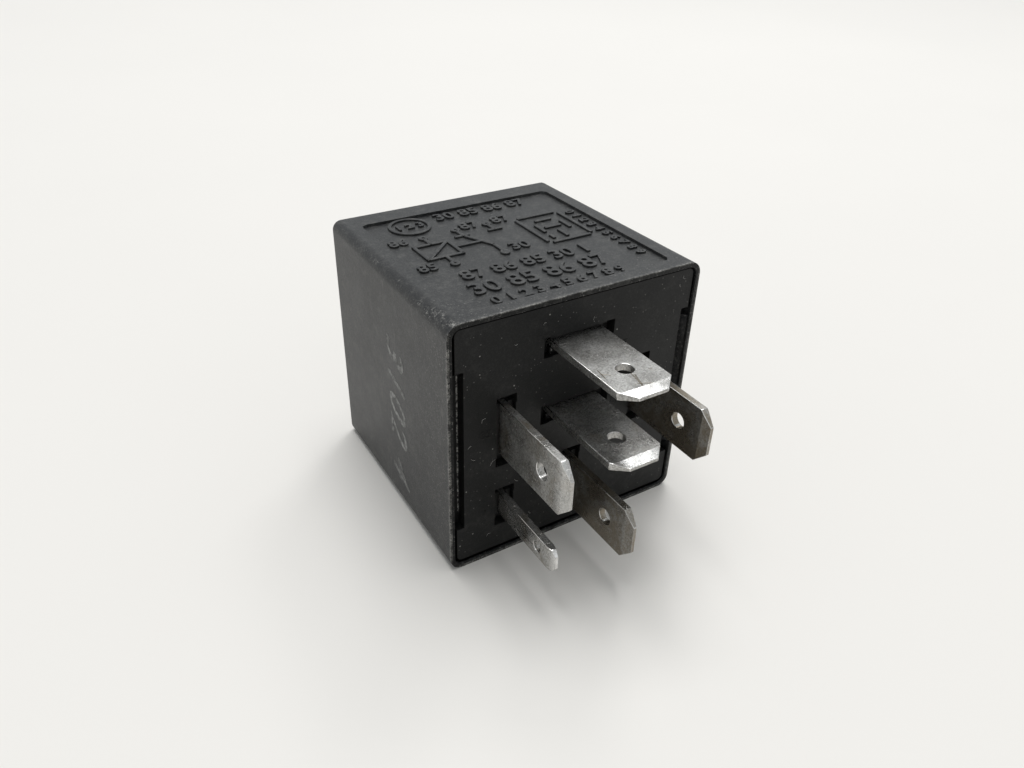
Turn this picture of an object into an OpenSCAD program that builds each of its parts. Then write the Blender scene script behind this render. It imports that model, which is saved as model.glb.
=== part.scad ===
// Plug-in automotive relay, lying on its side with the label face up.
// X runs across the terminal face, Y from the terminal face into the case, Z up.
// The case's walls have draft, so the relay leans by that angle where it lies flat on one of them.
// The origin is under the middle of the whole relay, on the surface that it lies on.

/* [Case] */
// Width of the case across the terminal face
case_w = 30; // [29.2:0.2:36]
// Height of the case as it lies
case_h = 30; // [30:0.2:36]
// Depth of the case from its mouth to its closed end
case_d = 29; // [28.6:0.2:40]
// Wall of the case behind the terminal base
case_wall = 1.1; // [0.9:0.05:1.3]
// Wall of the case's closed end
end_wall = 1.3; // [0.8:0.1:1.4]
// Thin lip of the case round the terminal base
lip_wall = 0.55; // [0.4:0.05:0.7]
// Outer corner radius of the case, seen from the terminal side
corner_r = 1.5; // [1.5:0.1:3]
// Draft of the moulding: how much each side wall leans in by the closed end
draft = 0.42; // [0:0.02:0.5]
// Radius round the edge of the closed end
end_r = 0.45; // [0.2:0.05:0.5]
// Width of the inward catch that holds the terminal base
catch_in = 0.5; // [0.3:0.05:0.8]
// Length of that catch along the side wall
catch_len = 17; // [8:0.5:18]

/* [Label recess] */
// Depth of the recessed label field
label_depth = 0.35; // [0.1:0.05:0.5]
// Margin of the label field from each side of the case
label_side = 2.75; // [2:0.25:6]
// Margin of the label field from the mouth
label_front = 1.8; // [1:0.1:5]
// Margin of the label field from the closed end
label_back = 3.1; // [1:0.1:6]
// Corner radius of the label field
label_r = 0.8; // [0.3:0.1:2]

/* [Terminal base] */
// Thickness of the terminal base
base_t = 2.4; // [2.2:0.1:3]
// How far the base sits inside the mouth
base_sink = 0.15; // [0.05:0.05:0.5]
// Gap round the base inside the lip
base_gap = 0.1; // [0.05:0.05:0.2]
// Depth of the side notches, from the edge of the base inwards
notch_in = 1.1; // [0.9:0.1:1.6]
// Length of the side notches
notch_len = 19.3; // [19:0.1:21]
// Thickness of the ledge that closes each notch behind
ledge_t = 1.1; // [0.8:0.1:1.3]
// Free width of the shallow pocket across each blade
pocket_w = 2.1; // [1.8:0.1:2.4]
// Depth of the shallow pocket round each blade
pocket_depth = 0.6; // [0.2:0.1:0.7]
// Length of the deeper well at each end of a pocket
well_len = 1.05; // [0.6:0.05:1.2]
// Depth of those wells
well_depth = 1.2; // [0.8:0.1:1.3]

/* [Terminals] */
// Width of the five wide blades
blade_w = 6.3; // [6:0.1:6.6]
// Width of the narrow control blade
control_w = 2.8; // [2.4:0.1:4.8]
// Thickness of the sheet that the blades are stamped from
blade_t = 0.8; // [0.6:0.05:0.9]
// Length of the wide blades outside the case's mouth
blade_len = 11.4; // [10:0.1:13]
// Length of the control blade outside the case's mouth
control_len = 9.9; // [8:0.1:11.2]
// Corner cut on the wide blades' tips
tip_cut = 1.45; // [0.8:0.05:2]
// Corner cut on the control blade's tip
control_cut = 0.6; // [0.3:0.05:0.9]
// Length of the lead-in bevel at the tip
bevel_len = 1.2; // [0.6:0.1:2]
// Thickness left at the very tip
tip_t = 0.35; // [0.2:0.05:0.5]
// Diameter of the hole in the wide blades
hole_d = 1.8; // [1.4:0.1:2.2]
// Diameter of the hole in the control blade
control_hole_d = 1.2; // [0.8:0.1:1.4]
// Distance of the hole from the tip
hole_from_tip = 4.4; // [3.6:0.1:5]
// Distance of the control blade's hole from its tip
control_hole_from_tip = 3; // [2:0.1:4]
// Distance from the centre of the case up to the centre blade
centre_up = 1.65; // [1.4:0.05:1.9]
// Spacing from the centre blade up to the top blade
top_spacing = 8; // [7.6:0.1:8.4]
// Spacing from the centre blade down to the bottom blade
bottom_spacing = 9.8; // [9.4:0.1:10.2]
// Distance of the left and right blades from the middle
side_spacing = 8.4; // [8.2:0.1:8.8]
// How far the side blades' middle lies below the centre blade
side_drop = 0.4; // [0:0.1:0.8]
// How far the control blade's middle lies below the centre blade
control_drop = 10.15; // [9.9:0.05:10.4]
// Width of the tails that go through the circuit board
tail_w = 3; // [2:0.1:3.2]

/* [Circuit board] */
// Gap between the back of the base and the board
board_gap = 2.85; // [2.4:0.05:3]
// Thickness of the board
board_t = 1.6; // [1:0.1:1.6]
// Gap between the board and the case's walls
board_clear = 0.7; // [0.5:0.1:1]
// How far tails and leads stand out behind the board
tail_out = 0.8; // [0.4:0.1:1]
// Diameter of the base's posts that carry the board
post_d = 2.6; // [2:0.1:3]
// Diameter of the pins on those posts
post_pin_d = 1.2; // [0.8:0.1:1.6]
// Distance of each post from the board's edges
post_in = 1.6; // [1.5:0.1:1.8]

/* [Relay mechanism] */
// Room between the mechanism and the left wall of the case
wall_gap = 1.1; // [0.9:0.1:1.3]
// Room between the mechanism and the lower wall
floor_gap = 1.55; // [1.2:0.05:1.8]
// Room between the mechanism and the upper wall
roof_gap = 2.3; // [2:0.1:2.8]
// Room between the mechanism and the closed end
mechanism_gap = 0.9; // [0.5:0.1:2]
// Height of the yoke's foot above the board
foot_lift = 1.2; // [1.1:0.1:1.4]
// Thickness of the yoke
yoke_t = 1.4; // [1:0.1:1.5]
// Width of the yoke
yoke_w = 9.6; // [9:0.1:10]
// Side of the square bobbin flanges
flange = 10.6; // [10:0.1:11]
// Thickness of the bobbin flanges
flange_t = 0.8; // [0.5:0.1:1]
// Outer diameter of the winding
winding_d = 9.6; // [8:0.1:10]
// Number of ridges that the outer wire layer shows
wire_rows = 22; // [10:1:40]
// Diameter of the iron core
core_d = 5; // [4:0.1:5.4]
// Wall of the bobbin's tube
tube_wall = 0.7; // [0.4:0.1:1]
// Diameter of the core's pole face
pole_d = 8.4; // [7:0.1:9]
// Thickness of the core's pole face
pole_t = 1.1; // [0.8:0.1:1.4]
// Thickness of the armature
armature_t = 1.4; // [1:0.1:1.6]
// Gap left between the armature and the pole when it is pulled in
pole_gap = 0.1; // [0.05:0.05:0.2]
// Angle that the armature swings through
swing = 4.5; // [3:0.1:4.8]
// Width of the contact leaf
leaf_w = 4.4; // [3:0.1:5]
// Thickness of the contact leaf
leaf_t = 0.3; // [0.2:0.05:0.4]
// Diameter of the contact heads
contact_d = 3; // [2.4:0.1:3.4]
// Thickness of the contact heads
contact_t = 0.55; // [0.4:0.05:0.6]
// Gap left between contacts that touch, at rest and pulled in
touch_gap = 0.1; // [0.05:0.05:0.15]
// Thickness of the strips that carry the fixed contacts
carrier_t = 0.8; // [0.6:0.1:0.9]
// Width of those strips
carrier_w = 5; // [4:0.1:5.4]
// Outer diameter of the return spring
spring_d = 2.2; // [1.6:0.1:2.2]
// Wire diameter of the return spring
spring_wire = 0.35; // [0.25:0.05:0.4]
// Number of turns of the return spring
spring_turns = 7; // [4:1:9]

/* [Electronics] */
// Diameter of the electrolytic capacitor
can_d = 6.3; // [5:0.1:6.5]
// Length of the electrolytic capacitor
can_len = 11; // [7:0.5:11.5]
// Width of the timer chip's body
chip_w = 6.4; // [6:0.1:6.6]
// Length of the timer chip's body
chip_len = 9.6; // [9.2:0.1:9.8]
// Thickness of the timer chip's body
chip_t = 3.2; // [2:0.1:4]
// Diameter of the resistors' bodies
resistor_d = 2.2; // [1.6:0.1:2.4]
// Length of the resistors' bodies
resistor_len = 6; // [4:0.1:7]
// Diameter of the diode's body
diode_d = 2; // [1.6:0.1:2.2]
// Length of the diode's body
diode_len = 4.6; // [3:0.1:6]
// Diameter of the transistor's round side
transistor_d = 4.6; // [4:0.1:4.8]
// Width of the film capacitor
film_w = 4.6; // [4:0.1:4.8]
// Thickness of the film capacitor
film_t = 2.5; // [2:0.1:2.8]
// Height of the film capacitor
film_h = 6.5; // [4:0.1:8]
// Diameter of the components' wire leads
lead_d = 0.6; // [0.4:0.05:0.7]
// Gap between the components' bodies and the board
part_lift = 0.3; // [0.1:0.1:0.8]

/* [Hidden] */
$fn = 48;

eps = 0.01;
fit = 0.05;             // clearance round pieces that are pushed or riveted together
slot_clear = 0.15;      // clearance round tails and tabs in the board
lead_clear = 0.1;       // clearance round wire leads in the board

// Colours of the mouldings and metals.
cover_colour = "#26282a";
base_colour = "#1d1e20";
tin = "#c3c4c6";
iron = "#9a9c9f";
bronze = "#c08a4e";
silver = "#d8d8da";

// The mouth's lower edge lies where the whole relay is centred on the origin.
draft_angle = atan(draft / case_d);
lowest_tip = case_h / 2 + centre_up - bottom_spacing - blade_w / 2 + tip_cut;
front_reach = blade_len * cos(draft_angle) - lowest_tip * sin(draft_angle);
back_reach = (case_d - end_r) * cos(draft_angle) + (case_h - draft - end_r) * sin(draft_angle) + end_r;
mouth_y = (front_reach - back_reach) / 2;
centre_z = case_h / 2;

// Stations along Y, counted from the mouth.
base_back = base_sink + base_t;
board_front = base_back + board_gap;
board_back = board_front + board_t;
tail_end = board_front - tail_out;    // where tabs and leads end in front of the board
foot_front = board_back + foot_lift;
foot_back = foot_front + yoke_t;
bobbin_front = foot_back + touch_gap;
part_front = board_back + part_lift;

// Widths across the case and heights up it.
inner_w = case_w - 2 * case_wall;
inner_h = case_h - 2 * case_wall;
inner_r = 1;
inner_edge = 0.2;
edge_steps = 5;         // flats round each rounded end edge
mouth_w = case_w - 2 * lip_wall;
mouth_h = case_h - 2 * lip_wall;
base_w = mouth_w - 2 * base_gap;
base_h = mouth_h - 2 * base_gap;
board_w = inner_w - 2 * board_clear;
board_h = inner_h - 2 * board_clear;

// Terminal places, as [x, z] from the centre of the case.
centre_at = [0, centre_up];
top_at = [0, centre_up + top_spacing];
bottom_at = [0, centre_up - bottom_spacing];
left_at = [-side_spacing, centre_up - side_drop];
right_at = [side_spacing, centre_up - side_drop];
control_at = [-side_spacing, centre_up - control_drop];

// Small sizes of the terminals and their seats.
control_tail_w = 1.2;
ear_out = 0.5;          // ears that stop a blade in the base
ear_len = 0.8;
tail_cut = 0.4;         // corner cut on the tails
pocket_end = 0.9;       // pocket beyond each end of a blade
well_side = 0.1;        // how much wider the wells are than the pocket, each side
catch_lead = 0.3;       // slope in front of the catch
catch_gap = 0.1;        // gap between the catch and the base's ledge
post_head_d = post_pin_d + 0.9;       // heat-formed heads of the posts

// Places of the mechanism, from the walls inwards: the hooks and the spring lie lowest.
strip_gap = 0.6;        // between the yoke and the strip beside it
hook_edge = 1;          // from the spring's axis to the hooks' ends
spring_gap = 0.25;
leg_gap = 0.3;          // between the bobbin and the yoke's leg
head_gap = 1.3;         // between the contact heads and the strip above them
coil_x = -inner_w / 2 + wall_gap + carrier_t + strip_gap + yoke_w / 2;
hook_z = -inner_h / 2 + floor_gap;
spring_z = hook_z + hook_edge;
leg_out = spring_z + spring_d / 2 + spring_gap;   // outer face of the leg, where the armature hinges
leg_in = leg_out + yoke_t;
coil_z = leg_in + leg_gap + flange / 2;
make_strip_z = inner_h / 2 - roof_gap - carrier_t;
contact_z = make_strip_z - head_gap - contact_d / 2;
contact_reach = contact_z - leg_out;              // from the hinge line to the moving contact
coil_at = [coil_x, coil_z];
contact_at = [coil_x, contact_z];

// Stations of the mechanism, from the closed end forwards; the bobbin fills what is left.
rivet_out = 0.3;
break_arm = case_d - end_wall - mechanism_gap - rivet_out - carrier_t;
break_face = break_arm - contact_t;
armature_front = break_face - touch_gap - (armature_t + leaf_t + contact_t) * cos(swing)
    - (contact_reach + contact_d / 2) * sin(swing);
armature_back = armature_front + armature_t;
leaf_back = armature_back + leaf_t;
pole_face = armature_front - pole_gap;
pole_back = pole_face - pole_t;
bobbin_back = pole_back - touch_gap;
make_face = armature_back - contact_t - touch_gap;
make_arm = make_face - contact_t - carrier_t;     // front faces of the carriers' arms

// Coil.
tube_d = core_d + 2 * fit + 2 * tube_wall;
flange_r = 1;
flange_gap = 0.05;      // gap between the winding and each flange
core_rivet_d = core_d - 1.2;          // end of the core that is riveted into the yoke
pin_ledge = 1;          // plastic round each coil pin
pin_ledge_t = 1.6;
pin_depth = 1.2;
pin_row = coil_z + flange / 2 + pin_ledge;
pin_spread = 3.8;       // distance of each coil pin from the coil's axis

// Yoke and armature.
lug_w = 1;
lug_clear = 0.25;
heel = 0.6;             // armature below its two notches
armature_tip = coil_z + pole_d / 2 + 0.8;
foot_tip = coil_z + pole_d / 2;
tab_w = 1.5;            // tabs that hold the yoke in the board
tab_t = 0.8;

// Return spring and the two hooks that it hangs between.
hook_w = 2.4;
hook_from = foot_back + 0.6;
hook_t = 0.9;
armature_hook_w = 3.6;
hook_hole = spring_wire + 0.5;
hook_reach = 0.9;       // bent ends of the spring
end_gap = 0.3;          // from the hooks to the faces that they lie behind

// Contacts.
pip_z = [leg_out + 6, leg_out + 10];  // staked pips that hold the leaf
pip_r = 0.7;
pip_head_d = 2.2;
pip_head_t = 0.4;
rivet_r = 0.8;
leaf_heel = 2;          // leaf beyond the first pip
leaf_tip = 1.9;         // leaf beyond the moving contact
arm_edge = 0.3;         // carrier beyond the contact head
carrier_step = 1;       // how much narrower the tail is than the strip, each side
break_strip_x = coil_x - yoke_w / 2 - strip_gap;
make_tail = [coil_x, make_strip_z + carrier_t / 2];
break_tail = [break_strip_x - carrier_t / 2, contact_z];

// Components on the board: places from the centre of the case, by the wall that each one stands near.
right = inner_w / 2;
low = -inner_h / 2;
coil_side = coil_x + flange / 2;
row_gap = (right - coil_side - diode_d - film_t - transistor_d) / 4;  // even gaps in the middle row
chip_in = 8.3;          // from the right wall to the chip's and the can's middles
can_in = 4.7;
chip_at = [right - chip_in, 7.2];
can_at = [right - can_in, -7.9];
diode_at = [coil_side + row_gap + diode_d / 2, -3.4];
film_at = [coil_side + 2 * row_gap + diode_d + film_t / 2, -3.1];
transistor_at = [right - row_gap - transistor_d / 2, -2];
resistor_at = [[3.4, low + 2.1], [3.4, -6.8], [right - 1.9, 1.9], [4.4, 0.7]];
hairpin = [[2.1, 0], [-2.1, 0], [0, 2.1], [2.1, 0]];  // from each resistor to its return lead
diode_hairpin = [0, 2.1];
bend_up = 1.2;          // from a standing body to the bend of its lead
body_edge = 0.25;       // rounding of the standing bodies' ends
cap_len = 1.1;          // end caps of the resistors
resistor_waist = 0.15;
chip_pitch = 2.54;
chip_row = 3.81;
chip_lift = 0.8;        // legs under the chip's body
leg_w = 1;              // wide shoulders of the chip's legs
leg_t = 0.25;
dot_d = 1.8;            // half-round notch that marks the chip's end
dot_depth = 0.4;
can_pitch = 2.5;
can_edge = 0.3;         // bevel at the can's ends
groove_from = 1;        // crimped groove above the can's seal
groove_w = 0.6;
groove_depth = 0.35;
film_r = 0.4;
transistor_pitch = 1.27;
transistor_lift = 1;
transistor_h = 4.6;
transistor_flat = 0.86; // share of the diameter left by the flat side

function chip_pins() = [for (i = [-1.5:1:1.5]) for (s = [-1, 1]) chip_at + [i * chip_pitch, s * chip_row]];
function can_leads() = [for (s = [-0.5, 0.5]) can_at + [s * can_pitch, 0]];
function film_leads() = [for (s = [-0.5, 0.5]) film_at + [0, s * can_pitch]];
function transistor_leads() = [for (i = [-1, 0, 1]) transistor_at + [i * transistor_pitch, 0]];
function diode_leads() = [diode_at, diode_at + diode_hairpin];
function resistor_leads() = [for (i = [0:3]) for (p = [resistor_at[i], resistor_at[i] + hairpin[i]]) p];
function coil_pin_places() = [for (s = [-1, 1]) [coil_x + s * pin_spread, pin_row]];
function tab_places() = [for (s = [-1, 1]) [coil_x + s * (yoke_w - tab_w) / 2, leg_out + tab_t / 2]];
function post_places() = [for (s = [-1, 1]) for (t = [-1, 1])
    [s * (board_w / 2 - post_in), t * (board_h / 2 - post_in)]];

// ---- helpers: every piece is drawn from the mouth plane and the centre of the case ----

module placed() {
    translate([0, mouth_y, 0]) rotate([-draft_angle, 0, 0]) translate([0, 0, centre_z]) children();
}

// Extrudes a flat outline, drawn in X and Z, from y0 to y1.
module deep(y0, y1) {
    translate([0, y1, 0]) rotate([90, 0, 0]) linear_extrude(y1 - y0) children();
}

// A rod along Y at the place p = [x, z].
module rod(p, y0, y1, d) {
    translate([p[0], y1, p[1]]) rotate([90, 0, 0]) cylinder(d = d, h = y1 - y0);
}

// A revolved profile round an axis along Y: the profile's y runs along the axis.
module turned(p) {
    translate([p[0], 0, p[1]]) rotate([-90, 0, 0]) rotate_extrude() children();
}

module block(x0, x1, y0, y1, z0, z1) {
    translate([x0, y0, z0]) cube([x1 - x0, y1 - y0, z1 - z0]);
}

// A block centred on x.
module bar(x, w, y0, y1, z0, z1) {
    block(x - w / 2, x + w / 2, y0, y1, z0, z1);
}

module rounded_rect(w, h, r) {
    square([w - 2 * r, h], center = true);
    square([w, h - 2 * r], center = true);
    for (s = [-1, 1]) for (t = [-1, 1]) translate([s * (w / 2 - r), t * (h / 2 - r)]) circle(r);
}

// ---- case ----

// Section from the middle out to a drafted wall at x = w, d deep, with its far edge rounded.
module drafted_profile(w, d, r) {
    y = d - r;
    x = w - y * tan(draft_angle) - r / cos(draft_angle);
    polygon([[0, 0], [w, 0],
        for (i = [0:edge_steps]) let (a = draft_angle + (90 - draft_angle) * i / edge_steps)
            [x + r * cos(a), y + r * sin(a)],
        [0, d]]);
}

// A block with drafted walls: two crossed slabs, and a turned quarter in each corner between them.
module drafted_block(w, h, d, r, edge) {
    long_w = w - 2 * r;
    long_h = h - 2 * r;
    for (s = [0, 1]) {
        mirror([0, 0, s]) rotate([0, -90, 0]) linear_extrude(long_w, center = true)
            drafted_profile(h / 2, d, edge);
        mirror([s, 0, 0]) linear_extrude(long_h, center = true) drafted_profile(w / 2, d, edge);
        for (t = [0, 1]) mirror([s, 0, 0]) mirror([0, 0, t])
            translate([long_w / 2, 0, long_h / 2]) rotate([-90, 0, 0]) rotate([0, 0, -90])
                rotate_extrude(angle = 90) drafted_profile(r, d, edge);
    }
}

module label_field() {
    w = case_w - 2 * label_side;
    d = case_d - label_front - label_back;
    translate([0, 0, case_h / 2]) rotate([-draft_angle, 0, 0])
        translate([0, label_front + d / 2, -label_depth])
            linear_extrude(2 * label_depth) rounded_rect(w, d, label_r);
}

// Inward wedge along each side wall that snaps in front of the base's ledge.
module catches() {
    back = base_back - ledge_t - catch_gap;
    for (s = [-1, 1]) translate([0, 0, -catch_len / 2]) linear_extrude(catch_len)
        polygon([[s * (mouth_w / 2 + eps), catch_lead], [s * (mouth_w / 2 - catch_in), back - catch_lead],
            [s * (mouth_w / 2 - catch_in), back], [s * (mouth_w / 2 + eps), back]]);
}

module cover() color(cover_colour) placed() {
    difference() {
        drafted_block(case_w, case_h, case_d, corner_r, end_r);
        deep(-1, base_back) rounded_rect(mouth_w, mouth_h, corner_r - lip_wall);
        translate([0, base_back, 0])
            drafted_block(inner_w, inner_h, case_d - end_wall - base_back, inner_r, inner_edge);
        label_field();
    }
    catches();
}

// ---- terminal base ----

// Pocket round one blade of width w; flat blades lie with their width across X.
module pocket(p, w, flat) {
    turn = flat ? 0 : 90;
    long = w + 2 * pocket_end;
    thick = blade_t + 2 * fit;
    translate([p[0], 0, p[1]]) rotate([0, turn, 0]) {
        bar(0, long, base_sink - 1, base_sink + pocket_depth, -pocket_w / 2, pocket_w / 2);
        for (s = [-1, 1])
            bar(s * (w / 2 + fit + well_len / 2), well_len, base_sink - 1, base_sink + well_depth,
                -pocket_w / 2 - well_side, pocket_w / 2 + well_side);
        bar(0, w + 2 * fit, base_sink - 1, base_back + 1, -thick / 2, thick / 2);
        bar(0, w + 2 * (ear_out + fit), base_back - ear_len - fit, base_back + 1, -thick / 2, thick / 2);
    }
}

module terminal_base() color(base_colour) placed() {
    difference() {
        deep(base_sink, base_back) rounded_rect(base_w, base_h, corner_r - lip_wall - base_gap);
        for (s = [-1, 1])
            bar(s * base_w / 2, 2 * notch_in, base_sink - 1, base_back - ledge_t,
                -notch_len / 2, notch_len / 2);
        pocket(top_at, blade_w, true);
        pocket(centre_at, blade_w, true);
        pocket(left_at, blade_w, false);
        pocket(right_at, blade_w, false);
        pocket(bottom_at, blade_w, false);
        pocket(control_at, control_w, false);
    }
    for (p = post_places()) {
        rod(p, base_back - eps, board_front, post_d);
        rod(p, board_front - eps, board_back + part_lift, post_pin_d);
        rod(p, board_back, board_back + part_lift, post_head_d);
    }
}

// ---- terminals ----

// One stamped terminal: blade outside, ears in the base, and a tail through the board.
module terminal(p, w, len, cut, hole, hole_in, tail, flat) {
    turn = flat ? 0 : 90;
    end = board_back + tail_out;
    ear = base_back - ear_len;
    half = concat([[w / 2 - cut, -len], [w / 2, -len + cut], [w / 2, ear], [w / 2 + ear_out, ear],
        [w / 2 + ear_out, base_back], [tail / 2, base_back], [tail / 2, end - tail_cut],
        [tail / 2 - tail_cut, end]]);
    other = [for (i = [len(half) - 1:-1:0]) [-half[i][0], half[i][1]]];
    translate([p[0], 0, p[1]]) rotate([0, turn, 0]) difference() {
        translate([0, 0, -blade_t / 2]) linear_extrude(blade_t) polygon(concat(half, other));
        for (s = [-1, 1]) rotate([90, 0, 90]) translate([0, 0, -w / 2 - 1]) linear_extrude(w + 2)
            polygon([[-len + bevel_len, s * blade_t / 2], [-len, s * tip_t / 2],
                [-len - 1, s * tip_t / 2], [-len - 1, s * blade_t], [-len + bevel_len, s * blade_t]]);
        translate([0, -len + hole_in, -blade_t]) cylinder(d = hole, h = 2 * blade_t);
    }
}

module wide_terminal(p, flat) {
    color(tin) placed() terminal(p, blade_w, blade_len, tip_cut, hole_d, hole_from_tip, tail_w, flat);
}

module terminal_top() wide_terminal(top_at, true);
module terminal_centre() wide_terminal(centre_at, true);
module terminal_left() wide_terminal(left_at, false);
module terminal_right() wide_terminal(right_at, false);
module terminal_bottom() wide_terminal(bottom_at, false);

module terminal_control() color(tin) placed()
    terminal(control_at, control_w, control_len, control_cut, control_hole_d, control_hole_from_tip,
        control_tail_w, false);

// ---- circuit board ----

// Slot through the board for a tail of width w and thickness t.
module tail_slot(p, w, t, flat) {
    x = (flat ? w : t) + 2 * slot_clear;
    z = (flat ? t : w) + 2 * slot_clear;
    bar(p[0], x, board_front - 1, board_back + 1, p[1] - z / 2, p[1] + z / 2);
}

module circuit_board() color("#3f6b3a") placed() difference() {
    bar(0, board_w, board_front, board_back, -board_h / 2, board_h / 2);
    for (p = [top_at, centre_at]) tail_slot(p, tail_w, blade_t, true);
    for (p = [left_at, right_at, bottom_at]) tail_slot(p, tail_w, blade_t, false);
    tail_slot(control_at, control_tail_w, blade_t, false);
    for (p = tab_places()) tail_slot(p, tab_w, tab_t, true);
    tail_slot(make_tail, carrier_w - 2 * carrier_step, carrier_t, true);
    tail_slot(break_tail, carrier_w - 2 * carrier_step, carrier_t, false);
    for (p = post_places()) rod(p, board_front - 1, board_back + 1, post_pin_d + 2 * fit);
    for (p = concat(chip_pins(), can_leads(), film_leads(), transistor_leads(), diode_leads(),
            resistor_leads(), coil_pin_places()))
        rod(p, board_front - 1, board_back + 1, lead_d + 2 * lead_clear);
}

// ---- coil ----

module coil_bobbin() color("#d8d2c0") placed() difference() {
    union() {
        for (y = [bobbin_front, bobbin_back - flange_t])
            translate([coil_x, 0, coil_z]) deep(y, y + flange_t) rounded_rect(flange, flange, flange_r);
        rod(coil_at, bobbin_front, bobbin_back, tube_d);
        bar(coil_x, 2 * (pin_spread + pin_ledge), bobbin_front, bobbin_front + pin_ledge_t,
            coil_z + flange / 2 - pin_ledge / 2, pin_row + pin_ledge);
    }
    rod(coil_at, bobbin_front - 1, bobbin_back + 1, core_d + 2 * fit);
    for (p = coil_pin_places()) rod(p, bobbin_front - 1, bobbin_front + pin_depth, lead_d + 2 * fit);
}

// The winding's outer layer shows a ridge for each row of wire.
module coil_winding() color("#a5562a") placed() {
    inner = tube_d / 2 + fit;
    outer = winding_d / 2;
    y0 = bobbin_front + flange_t + flange_gap;
    pitch = (bobbin_back - bobbin_front - 2 * flange_t - 2 * flange_gap) / wire_rows;
    valley = outer - pitch / 3;
    ridges = [for (i = [0:wire_rows - 1]) each [[valley, i * pitch], [outer, (i + 0.5) * pitch]]];
    far = wire_rows * pitch;
    translate([0, y0, 0]) turned(coil_at)
        polygon(concat([[inner, 0]], ridges, [[valley, far], [inner, far]]));
}

module coil_pins() color("#c8c8c8") placed()
    for (p = coil_pin_places()) rod(p, tail_end, bobbin_front + pin_depth, lead_d);

module iron_core() color("#8b8d90") placed() {
    rod(coil_at, foot_front, foot_back, core_rivet_d);
    rod(coil_at, foot_back, pole_back, core_d);
    rod(coil_at, pole_back, pole_face, pole_d);
}

// ---- yoke, armature and spring ----

// Foot under the coil, leg beside it, two lugs that locate the armature and a tab for the spring.
module yoke() color(iron) placed() difference() {
    union() {
        bar(coil_x, yoke_w, foot_front, foot_back, leg_out, foot_tip);
        bar(coil_x, yoke_w, foot_front, pole_face, leg_out, leg_in);
        for (s = [-1, 1])
            bar(coil_x + s * (yoke_w - lug_w) / 2, lug_w, pole_face - eps, armature_back, leg_out, leg_in);
        for (p = tab_places())
            bar(p[0], tab_w, tail_end, foot_front + eps, leg_out, leg_out + tab_t);
        bar(coil_x, hook_w, hook_from, hook_from + hook_t, hook_z, leg_out + eps);
    }
    rod(coil_at, foot_front - 1, foot_back + 1, core_rivet_d);
    rod([coil_x, spring_z], hook_from - 1, hook_from + hook_t + 1, hook_hole);
}

// Turns the moving pieces from the pulled-in place to the released one.
module released() {
    translate([0, armature_front, leg_out]) rotate([-swing, 0, 0]) translate([0, -armature_front, -leg_out])
        children();
}

module armature() color("#a4a6a8") placed() released() {
    difference() {
        union() {
            bar(coil_x, yoke_w, armature_front, armature_back, leg_out - lug_clear - heel, armature_tip);
            bar(coil_x, armature_hook_w, armature_front, armature_back, hook_z, leg_out);
        }
        for (s = [-1, 1])
            bar(coil_x + s * (yoke_w - lug_w) / 2, lug_w + 2 * lug_clear,
                armature_front - 1, armature_back + 1, leg_out - lug_clear, leg_in + lug_clear);
        rod([coil_x, spring_z], armature_front - 1, armature_back + 1, hook_hole);
    }
    for (z = pip_z) {
        rod([coil_x, z], armature_back - eps, leaf_back, 2 * pip_r);
        rod([coil_x, z], leaf_back, leaf_back + pip_head_t, pip_head_d);
    }
}

module contact_leaf() color("#c9884a") placed() released() difference() {
    bar(coil_x, leaf_w, armature_back, leaf_back, pip_z[0] - leaf_heel, contact_z + leaf_tip);
    for (z = pip_z) rod([coil_x, z], armature_back - 1, leaf_back + 1, 2 * (pip_r + fit));
    rod(contact_at, armature_back - 1, leaf_back + 1, 2 * (rivet_r + fit));
}

// A contact head with a bevelled rim, from y0 to y1; the wide face is at y0.
module contact_head(y0, y1) {
    rise = y1 - y0;
    r = contact_d / 2;
    turned(contact_at)
        polygon([[0, y0], [r, y0], [r, y0 + rise / 2], [r - abs(rise) / 2, y1], [0, y1]]);
}

module moving_contact() color(silver) placed() released() {
    contact_head(armature_back, armature_back - contact_t);
    rod(contact_at, armature_back - eps, leaf_back + eps, 2 * rivet_r);
    contact_head(leaf_back, leaf_back + contact_t);
}

// Return spring: straight end, coil, straight end, with a short hook behind the tab and the tail.
function spring_path() =
    let(r = (spring_d - spring_wire) / 2,
        y0 = hook_from - end_gap,
        y1 = hook_from + hook_t + 2 * end_gap,
        y2 = armature_front - 3 * end_gap,
        y3 = leaf_back + end_gap,
        bend = 0.25,
        steps = spring_turns * 12)
    concat(
        [[hook_reach, y0, 0], [bend, y0 + 0.05, 0], [0, y0 + bend, 0], [0, y1 - bend, 0]],
        [for (i = [0:steps])
            let(a = i * 30, k = min(1, i / 4, (steps - i) / 4))
            [r * k * cos(a), y1 + (y2 - y1) * i / steps, r * k * sin(a)]],
        [[0, y2 + bend, 0], [0, y3 - bend, 0], [bend, y3 - 0.05, 0], [hook_reach, y3, 0]]);

function unit(v) = v / norm(v);
function ring(c, t, r, n) =
    let(side = unit(cross(t, [0.12, 0.31, 1])), up = cross(side, t))
    [for (k = [0:n - 1]) c + r * (cos(k * 360 / n) * side + sin(k * 360 / n) * up)];

// A round wire swept along the points of a path.
module wire(path, d, n) {
    last = len(path) - 1;
    points = [for (i = [0:last])
        each ring(path[i], unit(path[min(i + 1, last)] - path[max(i - 1, 0)]), d / 2, n)];
    sides = [for (i = [0:last - 1]) for (k = [0:n - 1])
        [i * n + k, i * n + (k + 1) % n, (i + 1) * n + (k + 1) % n, (i + 1) * n + k]];
    ends = [[for (k = [n - 1:-1:0]) k], [for (k = [0:n - 1]) last * n + k]];
    polyhedron(points, concat(sides, ends), 4);
}

module return_spring() color("#b9bbbd") placed()
    translate([coil_x, 0, spring_z]) wire(spring_path(), spring_wire, 8);

// ---- fixed contacts ----

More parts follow.
